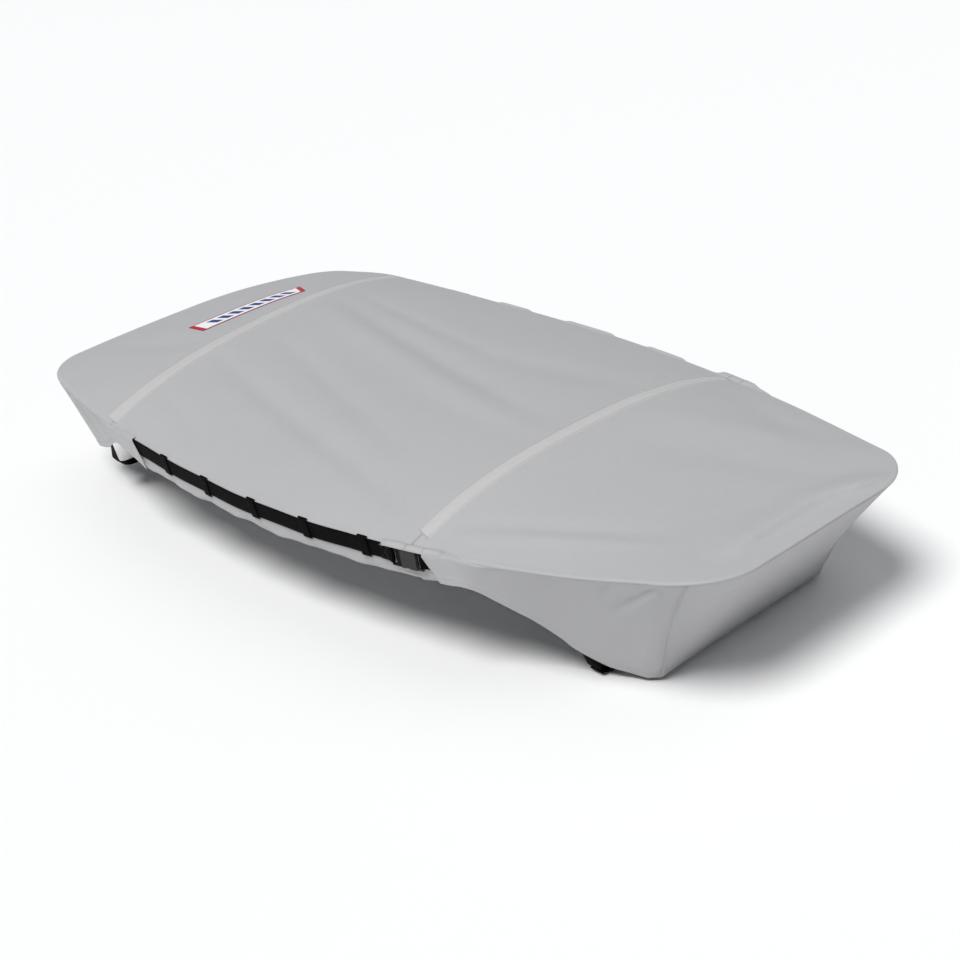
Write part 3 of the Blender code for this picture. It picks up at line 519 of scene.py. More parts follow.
# ---- label -------------------------------------------------------------------------------
# A sewn-on plate of smooth coated cloth, left without words: a white field with a thin red
# edge, slanted red ends and plain blue bars.
LABEL_FROM, LABEL_TO = -0.968, -0.888
LABEL_PORT, LABEL_STARBOARD, LABEL_SLANT, LABEL_HEIGHT = 0.263, -0.123, 0.033, 0.0014
LABEL_THICK, LABEL_EDGE, LABEL_NEAR_END, LABEL_FAR_END = 0.0006, 0.005, 0.015, 0.016
BAR_LEAN, BAR_PITCH, BAR_FROM, BAR_TO = -0.30, 0.036, 0.005, 0.027
BARS_INSET, BARS_FROM, BARS_TO = 0.019, 0.030, 0.060     # in from the label's sides and its two ends


def station_of(x, y):
    """Station on the centre line of the place at x, y."""
    station = x
    for _ in range(12):
        station = x - np.interp(station, CROWN["along"], CROWN["lean"]) * y
    return station


def label_point(s, v):
    """Station and t of the label's place: s from its stern edge to its bow edge, v to port."""
    x = LABEL_FROM + (LABEL_TO - LABEL_FROM) * s
    y = LABEL_STARBOARD + (LABEL_PORT - LABEL_SLANT * s - LABEL_STARBOARD) * v
    return station_of(x, y), y / half_breadth(x, RIM_RADIUS)


def mask(tree, value, low, high, soft=0.0006):
    """1 where a value lies between low and high, with slightly soft edges."""
    rise = add(tree, "MapRange", (value, low - soft, low + soft))
    fall = add(tree, "MapRange", (value, high - soft, high + soft, 1.0, 0.0))
    return add(tree, "Math", (rise, fall), operation="MULTIPLY")


# printed coated cloth: flat inks under a smooth film that is a little worn
label_finish, tree = new_material("printed_coated_label")
cut = add(tree, "SeparateXYZ", [add(tree, "UVMap", uv_map="cut")])
wide, high = (cut, "X"), (cut, "Y")
label_wide, label_long = LABEL_TO - LABEL_FROM, LABEL_PORT - LABEL_STARBOARD
slant, square = (add(tree, "Math", (wide, slope, high), operation="MULTIPLY_ADD")
                 for slope in (BAR_LEAN, LABEL_SLANT / label_wide))
cell = add(tree, "Math", (slant, BAR_PITCH), operation="MODULO")
field = mask(tree, wide, LABEL_EDGE, label_wide - LABEL_EDGE)
for limits in ((high, LABEL_NEAR_END, label_long), (square, 0.0, label_long - LABEL_FAR_END)):
    field = add(tree, "Math", (field, mask(tree, *limits)), operation="MULTIPLY")
bars = mask(tree, wide, BARS_INSET, label_wide - BARS_INSET)
for limits in ((slant, BARS_FROM, label_long - BARS_TO), (cell, BAR_FROM, BAR_TO)):
    bars = add(tree, "Math", (bars, mask(tree, *limits)), operation="MULTIPLY")
worn = add(tree, "TexNoise", {"Vector": (add(tree, "TexCoord"), "Object"), "Scale": 130.0, "Detail": 3.0})
white = add(tree, "Mix", {"Factor": field, 6: rgb("#b81f2a"), 7: rgb("#f2f3f5")}, data_type="RGBA")
ink = add(tree, "Mix", {"Factor": bars, 6: (white, 2), 7: rgb("#223f80")}, data_type="RGBA")
rough = add(tree, "MapRange", (worn, 0.0, 1.0, 0.30, 0.52))
bump = add(tree, "Bump", {"Height": worn, "Distance": 0.0003, "Strength": 0.3})
surface(label_finish, {"Base Color": (ink, 2), "Roughness": rough, "Normal": bump})

s, v = np.linspace(0, 1, 13)[:, None], np.linspace(0, 1, 49)[None, :]
place = label_point(s, v)
grid = top_points(*place) + top_normals(*place) * LABEL_HEIGHT
uv = np.stack(np.broadcast_arrays(s * label_wide, v * (label_long - LABEL_SLANT * s)), axis=-1)
label = make_piece("cloth_label", grid, quads(13, 49), uv, label_finish, LABEL_THICK)
dress(label, "label", "label_plate")
# one row of stitches goes round, just inside the label's outline
s, v = np.linspace(0.03, 0.97, 9), np.linspace(0.01, 0.99, 40)
place = label_point(np.r_[s, 0 * v + 0.97, s[::-1], 0 * v + 0.03],
                    np.r_[0 * s + 0.006, v, 0 * s + 0.994, v[::-1]])
up = top_normals(*place)
stitching = sew("stitches_label", [(top_points(*place) + up * (LABEL_HEIGHT - 2 * STITCH_OFF), up)],
                thread_finish("red_thread", "#9c3338"), "label", SMALL_STITCH)

# ---- skirts and end panels ---------------------------------------------------------------
# Deep canvas skirts round each end of the hull: a side skirt on either hand with a free,
# hemmed front edge, joined to the end panel by a felled seam down each corner.
TUCKED = RIM_RADIUS + TURN_DOWN + 0.0006
BOW_SKIRT = table(
    "rim along depth inset proud top",
    (0.537, 0.577, 0.062, -0.012, 0.0138, 0.001), (0.572, 0.6, 0.0635, -0.01, 0.0124, 0.001),
    (0.605, 0.625, 0.067, -0.002, 0.003, 0.001), (0.655, 0.652, 0.082, 0.0115, 0.003, TUCKED),
    (0.7, 0.678, 0.103, 0.024, 0, TUCKED), (0.745, 0.706, 0.126, 0.037, 0, TUCKED),
    (0.8, 0.74, 0.155, 0.053, 0, TUCKED), (0.86, 0.775, 0.197, 0.073, 0, TUCKED),
    (0.908, 0.798, 0.227, 0.084, 0, TUCKED), (0.966, 0.849, 0.267, 0.102, 0, TUCKED),
    (1.01, 0.89, 0.284, 0.114, 0, TUCKED), (1.051, 0.921, 0.295, 0.12, 0, TUCKED))
STERN_SKIRT = table(
    "rim along depth inset proud top",
    (0.549, 0.5, 0.069, -0.006, 0.006, 0.001), (0.59, 0.55, 0.058, -0.0058, 0.0058, 0.001),
    (0.635, 0.605, 0.051, -0.0054, 0.0054, 0.001), (0.672, 0.645, 0.053, -0.001, 0.003, 0.001),
    (0.705, 0.68, 0.062, 0.006, 0.003, TUCKED), (0.75, 0.725, 0.078, 0.016, 0, TUCKED),
    (0.81, 0.785, 0.106, 0.029, 0, TUCKED), (0.862, 0.832, 0.133, 0.037, 0, TUCKED),
    (0.918, 0.882, 0.16, 0.045, 0, TUCKED), (0.97, 0.935, 0.182, 0.05, 0, TUCKED),
    (1.02, 0.98, 0.2, 0.054, 0, TUCKED), (1.06, 1.02, 0.214, 0.056, 0, TUCKED))
# the end panel's foot (along, half its width, below the gunwale's middle), where the skirts' patches
# stop lying over the top, how far in they reach, and how many columns the corner seams lean
ENDS = {
    "bow": {"rows": BOW_SKIRT, "end": 1, "radius": BOW_RADIUS, "along": 0.945, "half": 0.250,
            "below": 0.265, "over": (0.60, 0.69), "reach": 0.045, "seam_slide": 8.0},
    "stern": {"rows": STERN_SKIRT, "end": -1, "radius": STERN_RADIUS, "along": 1.045, "half": 0.425,
              "below": 0.190, "over": (0.60, 0.70), "reach": 0.012, "seam_slide": 0.0}}
SKIRT_SAG, PATCH_LIFT, SKIRT_THICK = 0.006, 0.0007, 0.0008
# where the cloth comes out from under the top's edge: the solid's way down, and what is taken off it
START_BELOW, START_RAISED, START_IN = 0.006, 0.0055, 0.0003
TUCK_IN, TUCK_SHORT = 0.0012, 0.004
PLAIN_OVER, ROLLED_OVER = 0.40, 0.78     # shares of the way over the gunwale where a patch ends
HEM_DEEP, HEM_ROW_IN, HEM_PROUD = 0.020, 0.003, 0.0007
SEAM_PROUD, SEAM_HALF = 0.0012, 0.006
SEAM_ROWS, FRONT_ROW = (0.004, 0.010), 0.012     # stitches, this far from the seam and the free edge
CREASE_FADE = 0.75
DOWN_STEPS, OVER_STEPS, OVER_ON_TOP = 60, 13, 5
COLUMN_STEPS = 7              # fine columns from one row of the table to the next
SEAM_REACH = 16.0             # the columns over which a corner seam's lean dies out
UP = np.array((0.0, 0.0, 1.0))


def between(values, curved=True):
    """Values between the rows of a table, with COLUMN_STEPS steps from one to the next."""
    rows = np.arange(len(values), dtype=float)
    u = np.arange((len(values) - 1) * COLUMN_STEPS + 1) / COLUMN_STEPS
    return smooth({"along": rows, "value": values}, "value", u) if curved else np.interp(u, rows, values)


def lengths(path):
    """How far each point of a path is along it."""
    return np.r_[0, np.cumsum(np.linalg.norm(np.diff(path, axis=0), axis=1))]


def side_lines(spec, side):
    """Gunwale points, outward directions, foot points and table values down a side skirt."""
    rows, end = spec["rows"], spec["end"]
    rim_at, along, depth, inset = (between(rows[k]) for k in ("rim", "along", "depth", "inset"))
    x, foot_x = end * rim_at, end * along
    y = side * half_breadth(x)
    foot_y = side * (smooth(HULL, "half_breadth", foot_x) - inset)
    return {"rim": np.stack([x, y, rim_height(x, y)], axis=-1), "normal": rim_normal(x, side),
            "foot": np.stack([foot_x, foot_y, rim_height(foot_x, foot_y) - depth], axis=-1),
            "proud": between(rows["proud"], False), "top": between(rows["top"], False),
            "sag": SKIRT_SAG * (1 - ramp(rim_at, 0.90, 1.06)), "over": 1 - ramp(rim_at, *spec["over"])}


def end_lines(spec):
    """The same for an end panel, from its starboard seam to its port seam."""
    end, radius = spec["end"], spec["radius"]
    x_end = end * HALF_LENGTH
    half = float(half_breadth(x_end))
    crown = np.interp(x_end, CROWN["along"], CROWN["height"])
    turned = np.linspace(0, math.pi / 2, 4 * COLUMN_STEPS + 1)[1:]
    arc = end * (HALF_LENGTH - radius + radius * np.sin(turned))
    rims = [np.stack([arc, y, rim_height(arc, y)], axis=-1) for y in (-half_breadth(arc), half_breadth(arc))]
    y = np.linspace(-half, half, 8 * COLUMN_STEPS + 1)[1:-1]
    z = rim_height(x_end, y) + crown * (1 - np.abs(y / half)**CROWN_POWER)
    rim = np.concatenate([rims[0], np.stack([np.full_like(y, x_end), y, z], axis=-1), rims[1][::-1]])
    normal = np.concatenate([rim_normal(arc, -1), np.tile((float(end), 0.0, 0.0), (len(y), 1)),
                             rim_normal(arc, 1)[::-1]])
    share = lengths(rim)
    share /= share[-1]
    drop = PORT_QUARTER_DROP * share**2 * (end < 0)
    foot = np.stack([np.full_like(share, end * spec["along"]), spec["half"] * (2 * share - 1),
                     -(spec["below"] + drop)], axis=-1)
    zero = np.zeros_like(share)
    return {"rim": rim, "normal": normal, "foot": foot, "proud": zero, "top": zero + TUCKED,
            "sag": SKIRT_SAG * np.sin(math.pi * share), "over": zero}


def skirt_start(lines):
    """Where a skirt begins: under the turned-down edge, or on the outside of a patch over it."""
    below = lines["top"] + START_BELOW - START_RAISED * ramp(lines["top"], 0.002, TUCKED)
    below = below * edge_share(lines["rim"][:, 0])
    out = lines["proud"] - START_IN * ramp(lines["top"], 0.002, TUCKED)
    return lines["rim"] + lines["normal"] * out[:, None] - UP * below[:, None]


def over_gunwale(lines, spec, side):
    """Points from the top's cloth over the gunwale, or from a tuck under its edge."""
    rim, normal, over = lines["rim"], lines["normal"], lines["over"][:, None]
    start = skirt_start(lines)
    tuck_down = UP * (RIM_RADIUS + TURN_DOWN - TUCK_SHORT)
    tucked = rim - normal * TUCK_IN - tuck_down * edge_share(rim[:, :1])
    from_front = np.abs(rim[:, 0]) - np.abs(rim[:, 0]).min()
    proud = lines["proud"] * (side < 0 or spec["end"] > 0)
    grid = []
    for k in range(OVER_STEPS):
        if k < OVER_ON_TOP:
            inner = rim - normal * (RIM_RADIUS + spec["reach"] * (1 - k / OVER_ON_TOP))
            t = np.clip(inner[:, 1] / half_breadth(inner[:, 0], RIM_RADIUS), -1, 1)
            inner[:, 2] = top_points(station_of(inner[:, 0], inner[:, 1]), t)[:, 2]
            inner[:, 2] += PATCH_LIFT * (2 * ramp(k, 0, 2) * ramp(from_front, 0.0, 0.02) - 1)
        else:
            share = (k - OVER_ON_TOP) / (OVER_STEPS - OVER_ON_TOP)
            out, up = edge_way(rim[:, 0], side, PLAIN_OVER * share, ROLLED_OVER * share, PATCH_LIFT, proud)
            inner = rim + normal * out[:, None] + UP * up[:, None]
        plain = tucked + (start - tucked) * k / OVER_STEPS
        grid.append(inner * over + plain * (1 - over))
    return grid


def skirt_grid(lines, spec):
    """Grid of points over and down a skirt, from the top's cloth to the hem."""
    start = skirt_start(lines)
    starboard = (lines["rim"][:, 1] < 0)[:, None]
    over = (over_gunwale(lines, spec, side) for side in (-1, 1))
    grid = [np.where(starboard, *points) for points in zip(*over)]
    fall = ramp(lines["rim"][:, 2] - lines["foot"][:, 2], 0.07, 0.20)
    for v in np.linspace(0, 1, DOWN_STEPS + 1):
        hollow = (4 * v * (1 - v) * lines["sag"] * fall)[:, None]
        grid.append(start + (lines["foot"] - start) * v - lines["normal"] * hollow)
    return np.array(grid).transpose(1, 0, 2)


def grid_normals(grid):
    """Outward directions over a grid whose columns run round the outside."""
    return unit(np.cross(np.gradient(grid, axis=0), np.gradient(grid, axis=1)))


# creases of the skirts by two points on the cloth: deep is inwards, width across
BOW_CREASES = table(
    "x y z to_x to_y to_z deep width",
    (1.052, -0.35, 0.026, 0.944, -0.352, -0.056, 0.01, 0.009),
    (1.03, -0.345, -0.005, 0.95, -0.345, -0.085, -0.004, 0.014),
    (0.979, -0.353, -0.022, 0.9, -0.345, -0.1, 0.003, 0.016),
    (0.952, -0.38, 0.019, 0.919, -0.366, -0.043, 0.008, 0.009),
    (1.066, -0.342, 0.028, 1.055, -0.328, -0.02, 0.0065, 0.008),
    (0.84, -0.412, 0.002, 0.76, -0.41, -0.075, 0.003, 0.016),
    (0.7, -0.455, 0, 0.64, -0.462, -0.07, 0.002, 0.012),
    (0.99, -0.31, -0.12, 0.86, -0.33, -0.2, 0.003, 0.035),
    (1.105, -0.318, 0.01, 1, -0.225, -0.2, 0.0045, 0.014),
    (1.12, -0.21, -0.02, 1.03, -0.16, -0.18, 0.003, 0.022),
    (1.13, 0.09, -0.03, 1.02, 0.13, -0.17, 0.003, 0.03),
    (1.15, -0.05, 0, 1.06, -0.02, -0.12, -0.0025, 0.04),
    (1.01, 0.365, 0.012, 0.89, 0.35, -0.08, 0.004, 0.012),
    (0.88, 0.405, 0, 0.79, 0.395, -0.09, 0.003, 0.018), (1.08, 0.32, 0.01, 1, 0.27, -0.12, 0.002, 0.016))
STERN_CREASES = table(
    "x y z to_x to_y to_z deep width",
    (-0.97, -0.508, 0.002, -0.905, -0.5, -0.058, -0.005, 0.011),
    (-1.01, -0.492, -0.01, -0.93, -0.482, -0.095, 0.006, 0.018),
    (-0.815, -0.535, 0.005, -0.772, -0.52, -0.072, 0.0045, 0.013),
    (-0.69, -0.551, 0.002, -0.64, -0.556, -0.035, -0.0022, 0.012),
    (-1.12, -0.42, 0, -1.05, -0.43, -0.12, 0.004, 0.016),
    (-1.16, -0.18, 0.01, -1.08, -0.14, -0.15, 0.0035, 0.035),
    (-1.16, 0.14, 0, -1.07, 0.19, -0.16, 0.004, 0.045),
    (-1.11, 0.44, -0.01, -0.98, 0.46, -0.1, 0.003, 0.016),
    (-0.95, 0.5, 0, -0.87, 0.49, -0.09, 0.003, 0.018))


def crease(grid, creases):
    """Press soft creases into a grid, along lines between two points of the cloth."""
    pressed = np.zeros(grid.shape[:2])
    for row in zip(*creases.values()):
        start, to, deep, width = np.array(row[:3]), np.array(row[3:6]), row[6], row[7]
        s = np.clip(((grid - start) @ (to - start)) / ((to - start) @ (to - start)), 0, 1)
        away = np.linalg.norm(grid - start - s[..., None] * (to - start), axis=-1)
        pressed += deep * np.exp(-(away / width)**2) * (1 - CREASE_FADE * s)
    inside = np.arange(grid.shape[1]) - OVER_STEPS
    pressed = pressed * np.clip(inside / 5.0, 0, 1)
    return grid - grid_normals(grid) * pressed[..., None]


def hem_and_seams(grid, seams):
    """Thicken a grid along its hem, and along the felled seams at these columns."""
    to_hem = np.linalg.norm(grid[:, -1:] - grid, axis=-1)
    proud = HEM_PROUD * (1 - ramp(to_hem, HEM_DEEP - HEM_ROW_IN, HEM_DEEP + 0.001))
    for column in seams:
        to_seam = np.linalg.norm(grid[column][None] - grid, axis=-1)
        below = np.arange(grid.shape[1]) > OVER_STEPS
        proud += SEAM_PROUD * np.exp(-(to_seam / SEAM_HALF)**2) * below
    return grid + grid_normals(grid) * proud[..., None]


def sampled(points, places, at):
    """Points of a path at other places along it."""
    return np.stack([np.interp(at, places, points[:, k]) for k in range(3)], axis=-1)


for end_name, spec in ENDS.items():
    starboard, panel, port = side_lines(spec, -1), end_lines(spec), side_lines(spec, 1)
    lines = {k: np.concatenate([starboard[k], panel[k], port[k][::-1]])[::-spec["end"]] for k in panel}
    grid = skirt_grid(lines, spec)
    tall, pick = grid.shape[1], np.arange(len(grid))
    first, last = len(starboard["top"]), len(grid) - 1 - len(starboard["top"])
    lean = sum(way * np.exp(-((pick - seam) / SEAM_REACH)**2) for seam, way in ((first, 1), (last, -1)))
    for row, share in enumerate(np.clip((np.arange(tall) - OVER_STEPS) / DOWN_STEPS, 0, 1)):
        grid[:, row] = sampled(grid[:, row], pick, pick + spec["seam_slide"] * lean * (1 - share))
    grid = hem_and_seams(crease(grid, BOW_CREASES if end_name == "bow" else STERN_CREASES), (first, last))
    normal = grid_normals(grid)
    down = np.cumsum(np.linalg.norm(np.diff(grid, axis=1, prepend=grid[:, :1]), axis=2), axis=1)
    uv = np.stack([np.broadcast_to(lengths(grid[:, OVER_STEPS])[:, None], down.shape), down], axis=-1)
    to_hem = np.linalg.norm(grid[:, ::-1] - grid[:, -1:], axis=2)
    up_to = [np.interp(HEM_DEEP - HEM_ROW_IN, distances, np.arange(tall)) for distances in to_hem]
    place = np.clip(tall - 1 - np.array(up_to), OVER_STEPS, tall - 1)
    low = np.floor(place).astype(int)
    part = (place - low)[:, None]
    hem_stitch = grid[pick, low] * (1 - part) + grid[pick, np.minimum(low + 1, tall - 1)] * part
    hem_up = normal[pick, low]
    names = [f"skirt_{end_name}_starboard", f"panel_{end_name}_end", f"skirt_{end_name}_port"]
    for name, a, b in zip(names[::-spec["end"]], (0, first, last), (first, last, len(grid) - 1)):
        cloth, faces = grid[a:b + 1], quads(b - a + 1, tall)
        piece = make_piece("cloth_" + name, cloth, faces, uv[a:b + 1], canvas, SKIRT_THICK)
        dress(piece, "cloth", name)
        rows = [(hem_stitch[a + 1:b] + hem_up[a + 1:b] * STITCH_OFF, hem_up[a + 1:b])]
        if "skirt" in name:       # two rows by the felled seam, one by the free edge
            seam, inward, front = (b, -1, a) if a == 0 else (a, 1, b)
            cut = slice(OVER_STEPS + 2, -3)
            for column, beside, off, lift in (
                    *((seam, seam + inward, row_off, STITCH_OFF) for row_off in SEAM_ROWS),
                    (front, front - 3 * inward, FRONT_ROW, 0.0)):
                away = unit(grid[beside, cut] - grid[column, cut]) * off
                rows.append((grid[column, cut] + away + normal[column, cut] * lift, normal[column, cut]))
        stitching = sew("stitches_" + name, rows, grey_thread)

# ---- side strips -------------------------------------------------------------------------
# Shallow canvas strips between the skirts, sewn under the top's edge behind the belts. Each
# hangs loose with a hemmed, slightly wavy lower edge.
STRIP_FROM, STRIP_TO = -0.635, 0.605
STRIP_TOP, STRIP_DEPTH, STRIP_INSET = 0.006, 0.073, 0.004
STRIP_SEWN_TO, STRIP_SEWN_IN = 0.013, 0.0016     # its upper edge lies this deep and this far in
STRIP_HEM_PROUD, STRIP_HEM_ROW = 0.0006, 11      # and the row of the grid that the hem's stitches follow
SIDES = ((-1, "starboard"), (1, "port"))


def side_point(x, side, out, height):
    """Points by the side: out from the gunwale's outline, height over the gunwale."""
    x, out, height = np.broadcast_arrays(*(np.asarray(v, float) for v in (x, out, height)))
    y = side * half_breadth(x)
    edge = np.stack([x, y, rim_height(x, y) + height], axis=-1)
    return edge + rim_normal(x, side) * out[..., None]


def strip_depth(x):
    """How far the strip hangs below the gunwale: wavy, and shallower toward its ends."""
    wave = 0.002 * np.sin(17 * x + 0.6) + 0.0015 * np.sin(41 * x)
    shallow = 0.022 * (1 - ramp(x, -0.57, -0.50)) + 0.006 * ramp(x, 0.40, 0.50) * (1 - ramp(x, 0.51, 0.52))
    deeper = 0.005 * (1 - ramp(np.abs(x + 0.485), 0.0, 0.05))
    return STRIP_DEPTH + wave - shallow + deeper - 0.006 * ramp(x, 0.56, 0.60)


for side, side_name in SIDES:
    x, share = np.linspace(STRIP_FROM, STRIP_TO, 200)[None, :], np.linspace(0, 1, 15)[:, None]
    depth = STRIP_TOP + (strip_depth(x) - STRIP_TOP) * share
    ripple = 0.0022 * np.sin(31 * x + 1.1 * side) + 0.0012 * np.sin(74 * x + 2.0)
    hangs = -STRIP_INSET * share**2 + ripple * ramp(share, 0.75, 1.0)
    out = np.where(depth < STRIP_SEWN_TO, -STRIP_SEWN_IN, hangs)
    grid = side_point(x, side, out, -depth)[:, ::-side]
    normal = -grid_normals(grid)
    grid = grid + normal * (STRIP_HEM_PROUD * ramp(share, 0.78, 0.82))[..., None]
    uv = np.stack(np.broadcast_arrays(grid[..., 0] * side, depth), axis=-1)
    strip = make_piece("cloth_strip_" + side_name, grid, quads(*depth.shape), uv, canvas, SKIRT_THICK)
    dress(strip, "cloth", "strip_" + side_name)
    up = normal[STRIP_HEM_ROW]
    hem = grid[STRIP_HEM_ROW] + up * STITCH_OFF
    stitching = sew("stitches_strip_" + side_name, [(hem, up)], grey_thread)

# ---- side belts --------------------------------------------------------------------------
# Black 38 mm polyester webbing on edge along either side, turned round the buckle's bars and
# doubled back; the short end runs on under the bow skirt.
BELT_WIDTH, BELT_THICK = 0.038, 0.0018
BELT_TOP = {-1: -0.002, 1: -0.014}     # over the gunwale, to starboard and to port
BELT_FROM, BELT_TO = -0.602, 0.588
CLIP_AT, CLIP_LENGTH, SOCKET_LENGTH, FIT = 0.447, 0.0270, 0.0580, 0.0004
BAR, TURN_RADIUS, FOLD_BACK, FOLD_START = 0.0036, 0.0041, 0.034, 0.012
LIE = 0.0016                  # of the webbing's middle, out from the gunwale's outline
DOUBLED = 0.0026              # from one layer's middle to the next one's, where the end is doubled back
EDGE_ROUND = 0.35             # share of its thickness that webbing loses at its very edges
BOX_AT, BOX_LONG, BOX_MARGIN = 0.013, 0.017, 0.005     # the belt's boxed cross, before its end
RIB_APART, WARP_APART = 0.0011, 0.0015    # the ribs are as real ones; the threads between are coarser


def woven_webbing(name, colour):
    """Black polyester webbing: ribs straight across it and threads between, which keep it matte."""
    finish, tree = new_material(name)
    cut = add(tree, "SeparateXYZ", [add(tree, "UVMap", uv_map="cut")])
    rib, warp = (add(tree, "Math", ((cut, axis), math.pi / apart), operation="MULTIPLY")
                 for axis, apart in (("X", RIB_APART), ("Y", WARP_APART)))
    rib, warp = (add(tree, "Math", [angle], operation="SINE") for angle in (rib, warp))
    weave = add(tree, "Math", (rib, warp), operation="MULTIPLY")
    height = add(tree, "Math", (rib, weave), operation="ADD")
    dust = add(tree, "TexNoise", {"Vector": (add(tree, "TexCoord"), "Object"), "Scale": 60.0, "Detail": 4.0,
                                  "Roughness": 0.65})
    # worn is the dust's own random tone; lit is painted light from the ribs' height, a painted highlight on
    # their crests and painted shade in the grooves between them
    worn, lit, rough = (add(tree, "MapRange", values) for values in (
        (dust, 0.35, 0.75, 0.7, 1.5), (height, -2.0, 2.0, 0.7, 1.3), (dust, 0.0, 1.0, 0.52, 0.72)))
    # the dust's own tone times the painted rib highlight and shade
    tone = add(tree, "Math", (worn, lit), operation="MULTIPLY")
    tint = add(tree, "VectorMath", {0: rgb(colour)[:3], "Scale": tone}, operation="SCALE")
    bump = add(tree, "Bump", {"Height": height, "Distance": 0.00018, "Strength": 0.7})
    return surface(finish, {"Base Color": tint, "Roughness": rough, "Normal": bump,
                            "Specular IOR Level": 0.03})


webbing = woven_webbing("black_woven_webbing", "#0b0b0a")
black_thread = thread_finish("black_polyester_thread", "#202020")


def make_webbing(name, edge_a, edge_b, thickness, held, carriers, rows=()):
    """A woven strap between two edge curves, its ends closed, with rows of stitches."""
    a, b, across = np.array(edge_a), np.array(edge_b), 7
    share = np.linspace(0, 1, across)[None, :, None]
    grid = a[:, None] * (1 - share) + b[:, None] * share
    normal = -grid_normals(grid)
    half = normal * ((1 - EDGE_ROUND * np.abs(2 * share[..., 0] - 1)**8) * thickness / 2)[..., None]
    length, width = lengths((a + b) / 2), float(np.linalg.norm(b - a, axis=1).mean())
    count, below = len(a), len(a) * across
    faces = quads(count, across)
    faces = [face[::-1] for face in faces] + [[i + below for i in face] for face in faces]
    border = [(i, 0) for i in range(count)] + [(count - 1, j) for j in range(1, across)]
    border += [(i, across - 1) for i in range(count - 2, -1, -1)]
    border += [(0, j) for j in range(across - 2, 0, -1)]
    ring = [i * across + j for i, j in border]
    faces += [[p, q, q + below, p + below] for p, q in zip(ring, ring[1:] + ring[:1])]
    uv = np.stack(np.broadcast_arrays(length[:, None], width * share[..., 0]), axis=-1)
    points = np.concatenate([grid + half, grid - half])
    strap = make_piece(name + "_webbing", points, faces, np.concatenate([uv, uv]), webbing)
    dress(strap, "webbing", name)
    lines = []
    for at, over in rows:
        middle = sampled(a, length, at) * (1 - over[:, None]) + sampled(b, length, at) * over[:, None]
        up = normal[np.clip(np.searchsorted(length, at) - 1, 0, count - 2), across // 2]
        lines.append((middle + up * (thickness / 2), up))
    pieces = []
    if lines:
        pieces = [sew(f"stitches_{name}_webbing", lines, black_thread, "webbing", WEBBING_STITCH)]


def side_buckle_frame(side):
    """Where a side buckle sits: the back of its clip's bar, its direction along and outwards."""
    back, front = (side_point(x, side, LIE + TURN_RADIUS - BAR / 2, BELT_TOP[side] - BELT_WIDTH / 2)
                   for x in (CLIP_AT, CLIP_AT + CLIP_LENGTH + SOCKET_LENGTH))
    along = unit(front - back)
    return back, along, unit(np.cross(along, (0.0, 0.0, -side)))


def belt_edges(side, x, out):
    """Lower and upper edge of webbing on edge along the side."""
    wave = 0.0012 * np.sin(23 * x) * (1 - ramp(x, 0.30, 0.39))
    top = BELT_TOP[side] + wave
    return [side_point(x, side, out, height) for height in (top - BELT_WIDTH, top)]


def turned_edges(place, side, bar, direction):
    """Lower and upper edge of webbing turned round a buckle's bar."""
    origin, along, out = place
    up = np.cross(along, out) * side
    angle = np.linspace(0, math.pi, 13)[:, None]
    path = origin + along * (bar + direction * TURN_RADIUS * np.sin(angle))
    path = path + out * (BAR / 2 - TURN_RADIUS * np.cos(angle))
    return [path + up * height for height in (-BELT_WIDTH / 2, BELT_WIDTH / 2)]


def box_stitch(start):
    """The rows of a boxed cross on the belt, in metres along and shares across."""
    low = BOX_MARGIN / BELT_WIDTH
    corners = [(start + BOX_LONG * along, abs(across - low))
               for along, across in ((0, 0), (0, 1), (1, 1), (1, 0), (0, 0), (1, 1), (1, 0), (0, 1))]
    return [np.linspace(a, b, 9).T for a, b in zip(corners, corners[1:])]


socket_bar = CLIP_LENGTH + FIT + SOCKET_LENGTH - BAR / 2
for side, side_name in SIDES:
    place = side_buckle_frame(side)
    for name, bar, way, far, steps in (("belt_", BAR / 2, 1, BELT_FROM, 150),
                                       ("belt_end_", socket_bar, -1, BELT_TO, 12)):
        at_bar, back = (place[0] + place[1] * bar)[0], np.linspace(FOLD_START, FOLD_BACK, 9)
        bulge = 0.0010 * ramp(-back, -0.022, -0.010) * (way > 0)
        parts = (belt_edges(side, np.linspace(far, at_bar - way * FOLD_START, steps), LIE),
                 turned_edges(place, side, bar, way),
                 belt_edges(side, at_bar - way * back, LIE + DOUBLED + bulge))
        edges = [np.concatenate(edge) for edge in zip(*parts)][::-side * way]
        end = lengths((edges[0] + edges[1]) / 2)[-1]
        rows = box_stitch(end - FOLD_BACK + BOX_AT) if way > 0 else ()
        make_webbing(name + side_name, *edges, BELT_THICK, "stretched", ["cloth_strip_" + side_name], rows)

